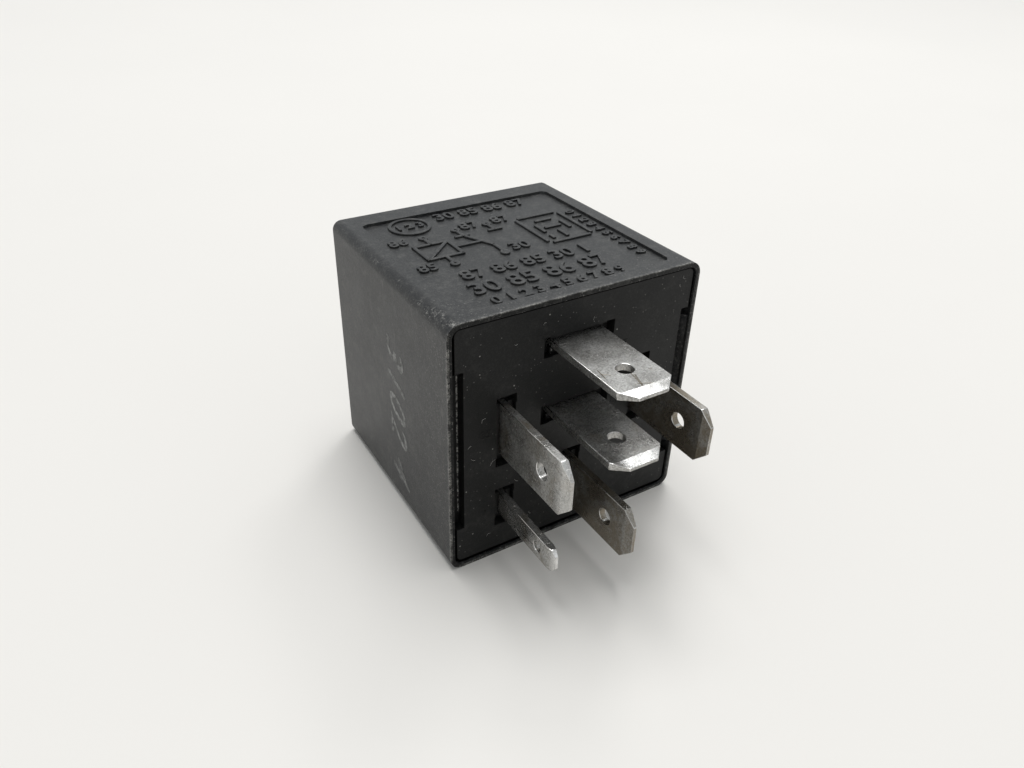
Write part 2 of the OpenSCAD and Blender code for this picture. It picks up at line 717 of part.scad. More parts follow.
module make_carrier() color(bronze) placed() difference() {
    strip_top = make_strip_z + carrier_t;
    union() {
        bar(coil_x, carrier_w, foot_front, make_arm + carrier_t, make_strip_z, strip_top);
        bar(coil_x, carrier_w, make_arm, make_arm + carrier_t,
            contact_z - contact_d / 2 - arm_edge, strip_top);
        bar(coil_x, carrier_w - 2 * carrier_step, tail_end, foot_front + eps, make_strip_z, strip_top);
    }
    rod(contact_at, make_arm - 1, make_arm + carrier_t + 1, 2 * rivet_r);
}

module break_carrier() color(bronze) placed() difference() {
    strip_back = break_strip_x - carrier_t;
    z0 = contact_z - carrier_w / 2;
    z1 = contact_z + carrier_w / 2;
    union() {
        block(strip_back, break_strip_x, foot_front, break_arm + carrier_t, z0, z1);
        block(strip_back, coil_x + contact_d / 2 + arm_edge, break_arm, break_arm + carrier_t, z0, z1);
        block(strip_back, break_strip_x, tail_end, foot_front + eps, z0 + carrier_step, z1 - carrier_step);
    }
    rod(contact_at, break_arm - 1, break_arm + carrier_t + 1, 2 * rivet_r);
}

module make_contact() color(silver) placed() {
    contact_head(make_arm + carrier_t, make_face);
    rod(contact_at, make_arm - rivet_out, make_arm + carrier_t + eps, 2 * rivet_r);
}

module break_contact() color(silver) placed() {
    contact_head(break_arm, break_face);
    rod(contact_at, break_arm - eps, break_arm + carrier_t + rivet_out, 2 * rivet_r);
}

// ---- electronics ----

module lead(p, top) {
    rod(p, tail_end, top, lead_d);
}

module timer_chip() color("#222326") placed() {
    y = part_front + chip_lift;
    leg_y = y + chip_t / 2;
    difference() {
        bar(chip_at[0], chip_len, y, y + chip_t, chip_at[1] - chip_w / 2, chip_at[1] + chip_w / 2);
        rod([chip_at[0] - chip_len / 2, chip_at[1]], y + chip_t - dot_depth, y + chip_t + 1, dot_d);
    }
    for (p = chip_pins()) {
        side = chip_at[1] + sign(p[1] - chip_at[1]) * (chip_w / 2 - eps);
        lead(p, leg_y);
        bar(p[0], leg_w, leg_y - leg_t, leg_y, min(p[1], side), max(p[1], side));
    }
}

// Aluminium can with a crimped groove, standing on its rubber end.
module electrolytic_capacitor() color("#2b3550") placed() {
    r = can_d / 2;
    y0 = part_front;
    y1 = part_front + can_len;
    groove = y0 + groove_from;
    turned(can_at) polygon([[0, y0], [r - can_edge, y0], [r, y0 + can_edge], [r, groove],
        [r - groove_depth, groove + groove_w / 2], [r, groove + groove_w], [r, y1 - can_edge],
        [r - can_edge, y1], [0, y1]]);
    for (p = can_leads()) lead(p, y0 + eps);
}

module film_capacitor() color("#a8332b") placed() {
    translate([film_at[0], 0, film_at[1]]) deep(part_front, part_front + film_h)
        rounded_rect(film_t, film_w, film_r);
    for (p = film_leads()) lead(p, part_front + eps);
}

module switching_transistor() color("#1f2022") placed() {
    y = part_front + transistor_lift;
    wide = 2 * transistor_d;
    translate([transistor_at[0], 0, transistor_at[1]]) deep(y, y + transistor_h) intersection() {
        circle(d = transistor_d);
        translate([-wide / 2, -transistor_d / 2]) square([wide, transistor_d * transistor_flat]);
    }
    for (p = transistor_leads()) lead(p, y + eps);
}

// A part that stands on one lead, with the other lead bent down beside it.
// Its body is drawn standing on the board: a rounded barrel, which may be waisted between its caps.
module standing_part(p, back, d, long, waist) {
    top = part_front + long + bend_up;
    q = p + back;
    r = d / 2;
    y0 = part_front;
    y1 = part_front + long;
    turned(p) polygon([[0, y0], [r - body_edge, y0], [r, y0 + body_edge], [r, y0 + cap_len],
        [r - waist, y0 + cap_len + waist], [r - waist, y1 - cap_len - waist], [r, y1 - cap_len],
        [r, y1 - body_edge], [r - body_edge, y1], [0, y1]]);
    lead(p, top);
    lead(q, top);
    translate([p[0], top, p[1]]) rotate([0, atan2(-back[1], back[0]), 0]) rotate([0, 90, 0])
        cylinder(d = lead_d, h = norm(back));
    for (e = [p, q]) translate([e[0], top, e[1]]) sphere(d = lead_d);
}

module resistor(i) {
    color("#c9a877") placed()
        standing_part(resistor_at[i], hairpin[i], resistor_d, resistor_len, resistor_waist);
}

module resistor_1() resistor(0);
module resistor_2() resistor(1);
module resistor_3() resistor(2);
module resistor_4() resistor(3);

module suppression_diode() color("#303236") placed()
    standing_part(diode_at, diode_hairpin, diode_d, diode_len, 0);

cover();
terminal_base();
terminal_top();
terminal_centre();
terminal_left();
terminal_right();
terminal_bottom();
terminal_control();
circuit_board();
coil_bobbin();
coil_winding();
coil_pins();
iron_core();
yoke();
armature();
contact_leaf();
moving_contact();
return_spring();
make_carrier();
break_carrier();
make_contact();
break_contact();
timer_chip();
electrolytic_capacitor();
film_capacitor();
switching_transistor();
suppression_diode();
resistor_1();
resistor_2();
resistor_3();
resistor_4();
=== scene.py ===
import math
import random
import bpy
from mathutils import Matrix, Vector


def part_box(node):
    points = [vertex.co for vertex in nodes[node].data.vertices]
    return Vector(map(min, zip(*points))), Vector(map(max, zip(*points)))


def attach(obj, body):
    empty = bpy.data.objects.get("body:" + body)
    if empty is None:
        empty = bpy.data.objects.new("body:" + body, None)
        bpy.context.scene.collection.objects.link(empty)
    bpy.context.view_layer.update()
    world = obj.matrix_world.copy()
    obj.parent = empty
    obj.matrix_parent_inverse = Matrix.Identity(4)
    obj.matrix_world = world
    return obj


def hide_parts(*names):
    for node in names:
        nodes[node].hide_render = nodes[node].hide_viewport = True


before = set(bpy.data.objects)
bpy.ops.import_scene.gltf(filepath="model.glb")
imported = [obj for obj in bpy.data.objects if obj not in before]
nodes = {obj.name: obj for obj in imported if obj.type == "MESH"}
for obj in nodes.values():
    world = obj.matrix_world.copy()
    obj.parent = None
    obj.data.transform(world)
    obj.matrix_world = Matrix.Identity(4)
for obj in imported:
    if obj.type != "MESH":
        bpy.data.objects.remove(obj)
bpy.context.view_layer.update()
scene = bpy.context.scene
mm = 0.001
print("frame loaded")


def inMm(*values):
    return tuple(value * mm for value in values)


def moved(x, y, z):
    return Matrix.Translation((x, y, z))


def turned(degrees, axis):
    return Matrix.Rotation(math.radians(degrees), 4, axis)


# The case has a little draft and lies on its drafted bottom, so the mouth leans by this much.
caseSize = {
    "width": 30 * mm, "depth": 29 * mm, "height": 30 * mm, "draft": 0.42 * mm,
    "baseIn": 0.15 * mm,    # how far the face of the base lies in from the mouth
}
lean = math.atan(caseSize["draft"] / caseSize["depth"])
leanDegrees = math.degrees(lean)
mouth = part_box("cover")[0].y
caseSpace = moved(0, mouth, 0) @ turned(-leanDegrees, "X")
topSpace = caseSpace @ moved(0, 0, caseSize["height"]) @ turned(-leanDegrees, "X")
leftSpace = (caseSpace @ moved(-caseSize["width"] / 2, 0, 0) @ turned(-leanDegrees, "Z")
             @ turned(-90, "Z") @ turned(90, "X"))
baseSpace = caseSpace @ moved(0, caseSize["baseIn"], caseSize["height"] / 2) @ turned(90, "X")


# camera

camera = {
    "place": (-0.044002, -0.065104, 0.066516),
    "aim": (-0.001452, 0.001476, 0.013775),
    "roll": 2.265,
    "lens": 29.118, "sensor": 36,
    "clip": (0.001, 20),
}


def makeCamera():
    bpy.ops.object.camera_add(location=camera["place"])
    shot = bpy.context.object
    direction = Vector(camera["aim"]) - Vector(camera["place"])
    aimed = direction.to_track_quat("-Z", "Y").to_matrix()
    rolled = Matrix.Rotation(math.radians(camera["roll"]), 3, "Z")
    shot.rotation_euler = (aimed @ rolled).to_euler()
    shot.data.lens = camera["lens"]
    shot.data.sensor_width = camera["sensor"]
    shot.data.clip_start, shot.data.clip_end = camera["clip"]
    scene.camera = shot
    scene.view_settings.view_transform = "Standard"


# node helpers for the finishes

def addNode(tree, kind, inputs=None, **settings):
    node = tree.nodes.new(kind)
    for key, value in settings.items():
        setattr(node, key, value)
    for key, value in (inputs or {}).items():
        if isinstance(value, bpy.types.NodeSocket):
            tree.links.new(value, node.inputs[key])
        else:
            node.inputs[key].default_value = value
    return node


def placeOf(tree, stretch=(1, 1, 1), turn=(0, 0, 0), shift=(0, 0, 0)):
    where = addNode(tree, "ShaderNodeTexCoord").outputs["Object"]
    return addNode(tree, "ShaderNodeMapping", {"Vector": where, "Scale": stretch, "Rotation": turn,
                                               "Location": shift}).outputs[0]


def noiseOf(tree, where, scale, detail, rough, twist=0.0):
    return addNode(tree, "ShaderNodeTexNoise", {"Vector": where, "Scale": scale, "Detail": detail,
                                                "Roughness": rough,
                                                "Distortion": twist}).outputs["Fac"]


def rangeOf(tree, value, low, high, start=0.0, end=1.0):
    return addNode(tree, "ShaderNodeMapRange", {"Value": value, "From Min": low, "From Max": high,
                                                "To Min": start, "To Max": end}).outputs[0]


def patchOf(tree, where, noise, reach):
    # soft patches: a noise, and the range of it that counts
    return rangeOf(tree, noiseOf(tree, where, *noise), *reach)


def calc(tree, kind, first, *others):
    # one Math node for each further value, and a single one where there is none
    for other in others or (0.0,):
        first = addNode(tree, "ShaderNodeMath", {0: first, 1: other}, operation=kind).outputs[0]
    return first


def colourMix(tree, share, first, second, how="MIX"):
    node = addNode(tree, "ShaderNodeMix", data_type="RGBA", blend_type=how)
    for socket, value in (("Factor_Float", share), ("A_Color", first), ("B_Color", second)):
        slot = next(s for s in node.inputs if s.identifier == socket)
        if isinstance(value, bpy.types.NodeSocket):
            tree.links.new(value, slot)
        else:
            slot.default_value = (*value, 1)
    return next(s for s in node.outputs if s.identifier == "Result_Color")


def bandOf(tree, value, low, high, soft):
    return calc(tree, "MULTIPLY", rangeOf(tree, value, low - soft, low),
                rangeOf(tree, value, high, high + soft, 1.0, 0.0))


def lengthOf(tree, first, second):
    squares = [calc(tree, "MULTIPLY", side, side) for side in (first, second)]
    return calc(tree, "SQRT", calc(tree, "ADD", *squares))


def caseParts(tree):
    # the place in the case's own directions: across, inwards from the mouth,
    # and up from the middle of the base
    where = placeOf(tree, turn=(lean, 0, 0), shift=(0, -mouth, 0))
    across, inwards, up = addNode(tree, "ShaderNodeSeparateXYZ", {"Vector": where}).outputs
    return across, inwards, calc(tree, "SUBTRACT", up, caseSize["height"] / 2)


def lineOf(tree, place, start, end, width):
    # 1 on a straight scratch from start to end, in a plane with two coordinates
    step = [b - a for a, b in zip(start, end)]
    place = [calc(tree, "SUBTRACT", value, a) for value, a in zip(place, start)]
    along = calc(tree, "ADD", *(calc(tree, "MULTIPLY", value, s) for value, s in zip(place, step)))
    along = rangeOf(tree, along, 0.0, step[0] ** 2 + step[1] ** 2)
    aside = [calc(tree, "SUBTRACT", value, calc(tree, "MULTIPLY", along, s))
             for value, s in zip(place, step)]
    return rangeOf(tree, lengthOf(tree, *aside), width * 0.4, width, 1.0, 0.0)


def bumpOf(tree, height, strength, depth, under=None):
    inputs = {"Height": height, "Strength": strength, "Distance": depth}
    if under is not None:
        inputs["Normal"] = under
    return addNode(tree, "ShaderNodeBump", inputs).outputs[0]


def speckOf(tree, where, scale, size, share, strength=1.0):
    # small round specks: one in each cell of a Voronoi pattern, and only in a share of the cells
    cells = addNode(tree, "ShaderNodeTexVoronoi", {"Vector": where, "Scale": scale,
                                                   "Randomness": 1.0}).outputs
    near = rangeOf(tree, cells["Distance"], size * 0.6, size, 1.0, 0.0)
    pick = addNode(tree, "ShaderNodeSeparateColor", {"Color": cells["Color"]}).outputs[0]
    return calc(tree, "MULTIPLY", near, calc(tree, "LESS_THAN", pick, share), strength)


def scratchOf(tree, stretch, turn, scale, width):
    # thin lines: the narrow band where a stretched noise crosses its middle
    lines = noiseOf(tree, placeOf(tree, stretch, turn), scale, 2.0, 0.5)
    off = calc(tree, "ABSOLUTE", calc(tree, "SUBTRACT", lines, 0.5))
    return rangeOf(tree, off, 0.0, width, 1.0, 0.0)


def newFinish(name, metallic=0.0, specular=0.5):
    finish = bpy.data.materials.new(name)
    finish.use_nodes = True
    shader = finish.node_tree.nodes["Principled BSDF"]
    shader.inputs["Metallic"].default_value = metallic
    shader.inputs["Specular IOR Level"].default_value = specular
    shader.inputs["IOR"].default_value = 1.5
    return finish, finish.node_tree, shader


def joinUp(tree, shader, colour, rough, relief=None):
    tree.links.new(colour, shader.inputs["Base Color"])
    tree.links.new(rough, shader.inputs["Roughness"])
    if relief is not None:
        tree.links.new(relief, shader.inputs["Normal"])


# finishes: a noise is given by its scale, detail, roughness and twist, specks by their scale, size,
# share of the cells and strength, and a bump by its strength and depth

casePlastic = {
    "dark": (0.0080, 0.0088, 0.0099), "light": (0.0172, 0.0179, 0.0185),
    "pale": (0.058, 0.058, 0.056), "black": (0.003, 0.003, 0.003),
    "dust": (0.25, 0.245, 0.23), "worn": (0.50, 0.49, 0.46),
    "roughness": (0.38, 0.56),
    # specular level of the walls and of the face of the rim
    "gloss": (0.37, 0.2),
    # where the edges between the top and the sides lie, as height over the middle plus half width
    "edgeReach": inMm(28.55, 29.0),
    # the outer edge of the rim, measured from the middle of the mouth
    "rimReach": inMm(14.72, 14.8),
    # places inwards from the mouth
    "rimBand": inMm(0.08, 0.42), "rimFace": inMm(0.02, 0.06),
    "dustBand": (1 * mm, 15 * mm, 1.0, 0.45), "crustBand": (0.3 * mm, 6 * mm, 0.55, 0.0),
    "clouds": (160.0, 5.0, 0.65), "grain": (4800.0, 4.0, 0.75), "swells": (340.0, 2.0, 0.6),
    # patches: a noise, and the range of it that counts
    "rimBreaks": ((3400.0, 8.0, 0.9, 0.6), (0.44, 0.58)),
    "rimStretches": ((330.0, 6.0, 0.8), (0.40, 0.56, 0.12, 1.0)),
    "knocks": ((260.0, 5.0, 0.75), (0.48, 0.57)),
    "flecks": ((2400.0, 6.0, 0.85), (0.50, 0.60)),
    "hairs": ((1, 0.5, 0.10), (0.2, 0.1, 0.1), 900.0, 0.008),
    "hairPatches": ((210.0, 2.0, 0.6), (0.54, 0.66, 0.0, 0.4)),
    "crust": ((2900.0, 5.0, 0.8, 0.3), (0.585, 0.65)),
    "film": ((700.0, 10.0, 0.85), (0.50, 0.72, 0.0, 0.30)),
    "dustSpecks": (1100.0, 0.13, 0.09, 0.85), "fineSpecks": (2800.0, 0.24, 0.24, 0.5),
    "swellBump": (0.25, 0.05 * mm), "grainBump": (0.55, 0.042 * mm), "scuffBump": (0.6, -0.05 * mm),
}


def makeCasePlastic(name, rubbed, behind=0.0):
    # rubbed is how pale the rim is, and behind is the share of it that goes on behind the rim
    look = casePlastic
    finish, tree, shader = newFinish(name, specular=look["gloss"][0])
    where = placeOf(tree)
    clouds = noiseOf(tree, where, *look["clouds"])
    grain = noiseOf(tree, where, *look["grain"])
    ground = colourMix(tree, rangeOf(tree, clouds, 0.3, 0.72), look["dark"], look["light"])
    ground = colourMix(tree, rangeOf(tree, grain, 0.48, 0.66, 0.0, 0.62), ground, look["pale"])
    across, inwards, up = caseParts(tree)
    wide, tall = calc(tree, "ABSOLUTE", across), calc(tree, "ABSOLUTE", up)
    # the rim of the mouth is rubbed pale in a thin line that comes and goes
    nearMouth = rangeOf(tree, inwards, *look["rimBand"], 1.0, behind)
    outside = rangeOf(tree, calc(tree, "MAXIMUM", wide, tall), *look["rimReach"])
    rub = calc(tree, "MULTIPLY", nearMouth, patchOf(tree, where, *look["rimBreaks"]),
               patchOf(tree, where, *look["rimStretches"]), rubbed, outside)
    # the face of the rim is painted nearly black, and it is less glossy
    face = rangeOf(tree, inwards, *look["rimFace"], 1.0, 0.0)
    ground = colourMix(tree, calc(tree, "MULTIPLY", face, 0.85), ground, look["black"])
    tree.links.new(rangeOf(tree, face, 0.0, 1.0, *look["gloss"]), shader.inputs["Specular IOR Level"])
    # knocks and scuffs along the edges between the top and the sides
    nearEdge = rangeOf(tree, calc(tree, "ADD", wide, up), *look["edgeReach"])
    scuffs = calc(tree, "MULTIPLY", nearEdge, patchOf(tree, where, *look["knocks"]),
                  patchOf(tree, where, *look["flecks"]))
    # hairlines, dust that lies thicker towards the mouth, a crust beside it, and a thin film
    hair = calc(tree, "MULTIPLY", scratchOf(tree, *look["hairs"]),
                patchOf(tree, where, *look["hairPatches"]))
    specks = calc(tree, "MAXIMUM", speckOf(tree, where, *look["dustSpecks"]),
                  speckOf(tree, where, *look["fineSpecks"]))
    specks = calc(tree, "MULTIPLY", specks, rangeOf(tree, inwards, *look["dustBand"]))
    crust = calc(tree, "MULTIPLY", patchOf(tree, where, *look["crust"]),
                 rangeOf(tree, inwards, *look["crustBand"]))
    dirt = calc(tree, "MAXIMUM", specks, crust, patchOf(tree, where, *look["film"]), hair)
    dustAndShade = colourMix(tree, dirt, ground, look["dust"])
    worn = colourMix(tree, calc(tree, "MAXIMUM", rub, scuffs), dustAndShade, look["worn"])
    rough = rangeOf(tree, calc(tree, "ADD", clouds, dirt), 0.2, 1.1, *look["roughness"])
    relief = bumpOf(tree, noiseOf(tree, where, *look["swells"]), *look["swellBump"])
    relief = bumpOf(tree, grain, *look["grainBump"], relief)
    relief = bumpOf(tree, scuffs, *look["scuffBump"], relief)
    joinUp(tree, shader, worn, rough, relief)
    return finish


basePlastic = {
    "dark": (0.0025, 0.0027, 0.0027), "light": (0.0055, 0.0055, 0.0052),
    # black is the colour of the painted shadow in the seam round the base
    "pale": (0.018, 0.018, 0.0175), "black": (0.0006, 0.0006, 0.0006),
    "dust": (0.24, 0.235, 0.22), "scraped": (0.48, 0.475, 0.45),
    "roughness": (0.42, 0.6),
    # specular level of the face and of the seam round it
    "gloss": (0.24, 0.0),
    # half size and corner of the base's outline, and the width of the painted shadow in the seam
    # along it
    "half": 14.35 * mm, "corner": 0.85 * mm, "seam": 0.26 * mm,
    # the notches, and the inner corner of each, where the catch scraped it
    "notchWall": 13.2 * mm, "notchEnd": inMm(8.4, 8.6),
    "scrapeIn": inMm(1.38, 1.48), "scrapeOut": inMm(13.36, 13.41), "scrapeSoft": 0.02 * mm,
    "clouds": (190.0, 5.0, 0.6), "grain": (6500.0, 3.0, 0.7), "swells": (300.0, 2.0, 0.6),
    "crumbs": ((1900.0, 5.0, 0.8), (0.44, 0.58)),
    "film": ((500.0, 8.0, 0.8), (0.52, 0.80, 0.0, 0.10)),
    "dustSpecks": (1300.0, 0.13, 0.10), "fineSpecks": (2800.0, 0.22, 0.14, 0.4),
    "swellBump": (0.2, 0.04 * mm), "grainBump": (0.5, 0.03 * mm),
}


def makeBasePlastic():
    look = basePlastic
    finish, tree, shader = newFinish("base_plastic_dusty", specular=look["gloss"][0])
    where = placeOf(tree)
    clouds = noiseOf(tree, where, *look["clouds"])
    grain = noiseOf(tree, where, *look["grain"])
    ground = colourMix(tree, rangeOf(tree, clouds, 0.3, 0.75), look["dark"], look["light"])
    ground = colourMix(tree, rangeOf(tree, grain, 0.46, 0.74, 0.0, 0.7), ground, look["pale"])
    dirt = calc(tree, "MAXIMUM", speckOf(tree, where, *look["dustSpecks"]),
                speckOf(tree, where, *look["fineSpecks"]), patchOf(tree, where, *look["film"]))
    dustAndShade = colourMix(tree, dirt, ground, look["dust"])
    across, inwards, up = caseParts(tree)
    wide, tall = calc(tree, "ABSOLUTE", across), calc(tree, "ABSOLUTE", up)
    # painted shadow: the seam between the base and the rim lies in shadow, so it is painted nearly
    # black
    straight = look["half"] - look["corner"]
    aside, above = (calc(tree, "MAXIMUM", calc(tree, "SUBTRACT", side, straight))
                    for side in (wide, tall))
    seam = rangeOf(tree, lengthOf(tree, aside, above), look["corner"] - look["seam"],
                   look["corner"] - look["seam"] * 0.6)
    # the corner at the bottom of each notch is scraped to a broken pale line
    inNotch = calc(tree, "MULTIPLY", calc(tree, "GREATER_THAN", wide, look["notchWall"]),
                   rangeOf(tree, tall, *look["notchEnd"], 1.0, 0.0))
    scrape = calc(tree, "MULTIPLY", bandOf(tree, inwards, *look["scrapeIn"], look["scrapeSoft"]),
                  rangeOf(tree, wide, *look["scrapeOut"], 1.0, 0.0),
                  patchOf(tree, where, *look["crumbs"]), inNotch)
    shade = calc(tree, "MULTIPLY", seam, calc(tree, "SUBTRACT", 1.0, inNotch))
    # the painted shadow in the seam goes over the dust here
    dustAndShade = colourMix(tree, shade, dustAndShade, look["black"])
    dustAndShade = colourMix(tree, scrape, dustAndShade, look["scraped"])
    gloss = rangeOf(tree, calc(tree, "SUBTRACT", seam, inNotch), 0.0, 1.0, *look["gloss"])
    tree.links.new(gloss, shader.inputs["Specular IOR Level"])
    rough = rangeOf(tree, clouds, 0.3, 0.7, *look["roughness"])
    relief = bumpOf(tree, noiseOf(tree, where, *look["swells"]), *look["swellBump"])
    relief = bumpOf(tree, grain, *look["grainBump"], relief)
    joinUp(tree, shader, dustAndShade, rough, relief)
    return finish


tinPlate = {
    "clean": (0.55, 0.545, 0.53), "dull": (0.37, 0.362, 0.345), "pitted": (0.19, 0.185, 0.17),
    "stain": (0.20, 0.165, 0.115), "bright": (0.86, 0.855, 0.84),
    "roughness": (0.20, 0.36), "edgeRoughness": (0.10, 0.24),
    "clouds": (330.0, 5.0, 0.65), "grain": (5200.0, 4.0, 0.75), "grainDepth": 0.020 * mm,
    # the strip was rolled, so fine lines run along the blade
    "rolledStretch": (1, 0.06, 1), "rolled": (5200.0, 3.0, 0.6),
    # brown stains, and how far brown brings their range down
    "stains": (260.0, 6.0, 0.7, 1.2), "stainReach": (0.62, 0.86), "stainShift": 0.3,
    "specks": (2300.0, 0.2, 0.14, 0.55),
    "scratchesAlong": ((1, 0.12, 1), (0, 0, 0.15), 1300.0, 0.010),
    "scratchesAcross": ((0.15, 1, 1), (0.3, 0, 0.9), 700.0, 0.008),
    "scratchPatches": ((300.0, 3.0, 0.6), (0.44, 0.58)),
    # deep scratches on the top blade, by their ends across and inwards
    "marks": (((0.0, -7.9), (-0.4, -10.2)), ((-0.4, -10.2), (0.17, -8.3)),
              ((-0.55, -9.6), (1.94, -10.8)), ((-2.45, -6.0), (-2.64, -7.5)),
              ((-2.5, -6.8), (-1.9, -7.3))),
    "markWidth": 0.075 * mm,
    # the dented tips
    "dentReach": inMm(-9.0, -9.8), "dents": (1150.0, 1.0, 0.4), "dentBump": (0.8, 0.16 * mm),
}


def makeTinPlate(name, brown, edge=False, marked=False, dented=0.0):
    # brown is how stained the blade is, dented how battered its tip is
    look = tinPlate
    finish, tree, shader = newFinish(name, metallic=1.0 if edge else 0.82)
    where = placeOf(tree)
    clouds = noiseOf(tree, where, *look["clouds"])
    grain = noiseOf(tree, where, *look["grain"])
    rolled = noiseOf(tree, placeOf(tree, look["rolledStretch"]), *look["rolled"])
    across, inwards, up = caseParts(tree)
    ground = colourMix(tree, rangeOf(tree, clouds, 0.35, 0.7), look["dull"],
                       look["bright" if edge else "clean"])
    pits = rangeOf(tree, grain, 0.47, 0.60, 0.0, 0.3 if edge else 0.85)
    ground = colourMix(tree, pits, ground, look["pitted"])
    ground = colourMix(tree, rangeOf(tree, grain, 0.38, 0.28), ground, look["bright"])
    low, high = (limit - look["stainShift"] * brown for limit in look["stainReach"])
    stains = patchOf(tree, where, look["stains"], (low, high, 0.0, 0.8))
    ground = colourMix(tree, stains, ground, look["stain"])
    ground = colourMix(tree, speckOf(tree, where, *look["specks"]), ground, look["stain"])
    scratches = calc(tree, "MAXIMUM", scratchOf(tree, *look["scratchesAlong"]),
                     scratchOf(tree, *look["scratchesAcross"]))
    scratches = calc(tree, "MULTIPLY", scratches, patchOf(tree, where, *look["scratchPatches"]))
    ground = colourMix(tree, calc(tree, "MULTIPLY", scratches, 0.7), ground, look["pitted"])
    # a badly dented blade shines as its edges do
    rough = calc(tree, "ADD", clouds, calc(tree, "MULTIPLY", grain, 0.5))
    rough = rangeOf(tree, rough, 0.4, 1.05,
                    *look["edgeRoughness" if edge or dented > 0.5 else "roughness"])
    deep = look["grainDepth"] * (0.2 if edge else 1)
    relief = bumpOf(tree, rolled, 0.4, deep / 2)
    relief = bumpOf(tree, grain, 0.5, deep, relief)
    relief = bumpOf(tree, scratches, 0.7, -1.2 * deep, relief)
    if dented:
        tip = rangeOf(tree, inwards, *look["dentReach"], 0.0, dented)
        ground = colourMix(tree, tip, ground, look["bright"])
        dents = calc(tree, "MULTIPLY", noiseOf(tree, where, *look["dents"]), tip)
        relief = bumpOf(tree, dents, *look["dentBump"], relief)
    for start, end in look["marks"] if marked else ():
        mark = lineOf(tree, (across, inwards), inMm(*start), inMm(*end), look["markWidth"])
        ground = colourMix(tree, calc(tree, "MULTIPLY", mark, 0.8), ground, look["stain"])
        relief = bumpOf(tree, mark, 0.8, -2 * deep, relief)
    joinUp(tree, shader, ground, rough, relief)
    return finish


metal = {
    "lines": (6000.0, 3.0, 0.6), "specks": (2500.0, 0.2, 0.12, 0.4), "lineBump": (0.4, 0.006 * mm),
}


def makeMetal(name, light, dark, rough, scale, stretch=(1, 1, 1)):
    finish, tree, shader = newFinish(name, metallic=1.0)
    where = placeOf(tree)
    clouds = noiseOf(tree, where, scale, 5.0, 0.65)
    lines = noiseOf(tree, placeOf(tree, stretch), *metal["lines"])
    ground = colourMix(tree, rangeOf(tree, clouds, 0.35, 0.7), dark, light)
    ground = colourMix(tree, rangeOf(tree, lines, 0.45, 0.75, 0.0, 0.4), ground, dark)
    ground = colourMix(tree, speckOf(tree, where, *metal["specks"]), ground, dark)
    joinUp(tree, shader, ground, rangeOf(tree, clouds, 0.3, 0.7, *rough),
           bumpOf(tree, lines, *metal["lineBump"]))
    return finish


moulded = {
    "lead": (0.60, 0.60, 0.58), "stripe": (0.45, 0.46, 0.48),
    "grain": (6000.0, 3.0, 0.7), "specks": (2400.0, 0.2, 0.1, 0.3), "grainBump": (0.4, 0.006 * mm),
    # how far a body's finish reaches past it: a round one, a square one, and at its ends
    "roundSlack": 0.04 * mm, "squareSlack": 0.01 * mm, "endSoft": 0.02 * mm, "bandSoft": 0.05 * mm,
}


def roundBody(x, z, radius, front, back, **more):
    return {"at": inMm(x, z), "radius": radius * mm, "depth": inMm(front, back), **more}


def squareBody(x, z, halfWide, halfTall, front, back):
    return {"at": inMm(x, z), "half": inMm(halfWide, halfTall), "depth": inMm(front, back)}


def bodyOf(tree, body):
    # 1 on the moulded body and 0 on its leads
    across, inwards, up = caseParts(tree)
    aside, above = (calc(tree, "ABSOLUTE", calc(tree, "SUBTRACT", value, middle))
                    for value, middle in zip((across, up), body["at"]))
    if "radius" in body:
        inside = calc(tree, "LESS_THAN", lengthOf(tree, aside, above),
                      body["radius"] + moulded["roundSlack"])
    else:
        near = [calc(tree, "LESS_THAN", value, half + moulded["squareSlack"])
                for value, half in zip((aside, above), body["half"])]
        inside = calc(tree, "MULTIPLY", *near)
    ends = bandOf(tree, inwards, *body["depth"], moulded["endSoft"])
    return calc(tree, "MULTIPLY", inside, ends), inwards, aside


def makeMoulded(name, light, dark, rough, scale=400.0, body=None, bands=()):
    # bands are (place inwards from the mouth, half width, colour)
    finish, tree, shader = newFinish(name)
    where = placeOf(tree)
    clouds = noiseOf(tree, where, scale, 5.0, 0.6)
    grain = noiseOf(tree, where, *moulded["grain"])
    ground = colourMix(tree, rangeOf(tree, clouds, 0.3, 0.7), dark, light)
    ground = colourMix(tree, rangeOf(tree, grain, 0.45, 0.75, 0.0, 0.35), ground, dark)
    ground = colourMix(tree, speckOf(tree, where, *moulded["specks"]), ground, light, "SCREEN")
    if body:
        inside, inwards, aside = bodyOf(tree, body)
        for place, half, colour in bands:
            band = bandOf(tree, inwards, place - half, place + half, moulded["bandSoft"])
            ground = colourMix(tree, band, ground, colour)
        if "stripe" in body:
            stripe = calc(tree, "GREATER_THAN", aside, body["stripe"])
            ground = colourMix(tree, stripe, ground, moulded["stripe"])
        tree.links.new(calc(tree, "SUBTRACT", 1.0, inside), shader.inputs["Metallic"])
        ground = colourMix(tree, inside, moulded["lead"], ground)
    joinUp(tree, shader, ground, rangeOf(tree, clouds, 0.3, 0.7, *rough),
           bumpOf(tree, grain, *moulded["grainBump"]))
    return finish


winding = {
    "wire": 0.13 * mm, "light": (0.58, 0.20, 0.075), "dark": (0.20, 0.05, 0.018),
    "waveLength": 0.314,    # of a wave texture with scale 1
    "clouds": (700.0, 4.0, 0.6), "turnBump": (0.9, 0.05 * mm), "roughness": (0.24, 0.42),
}


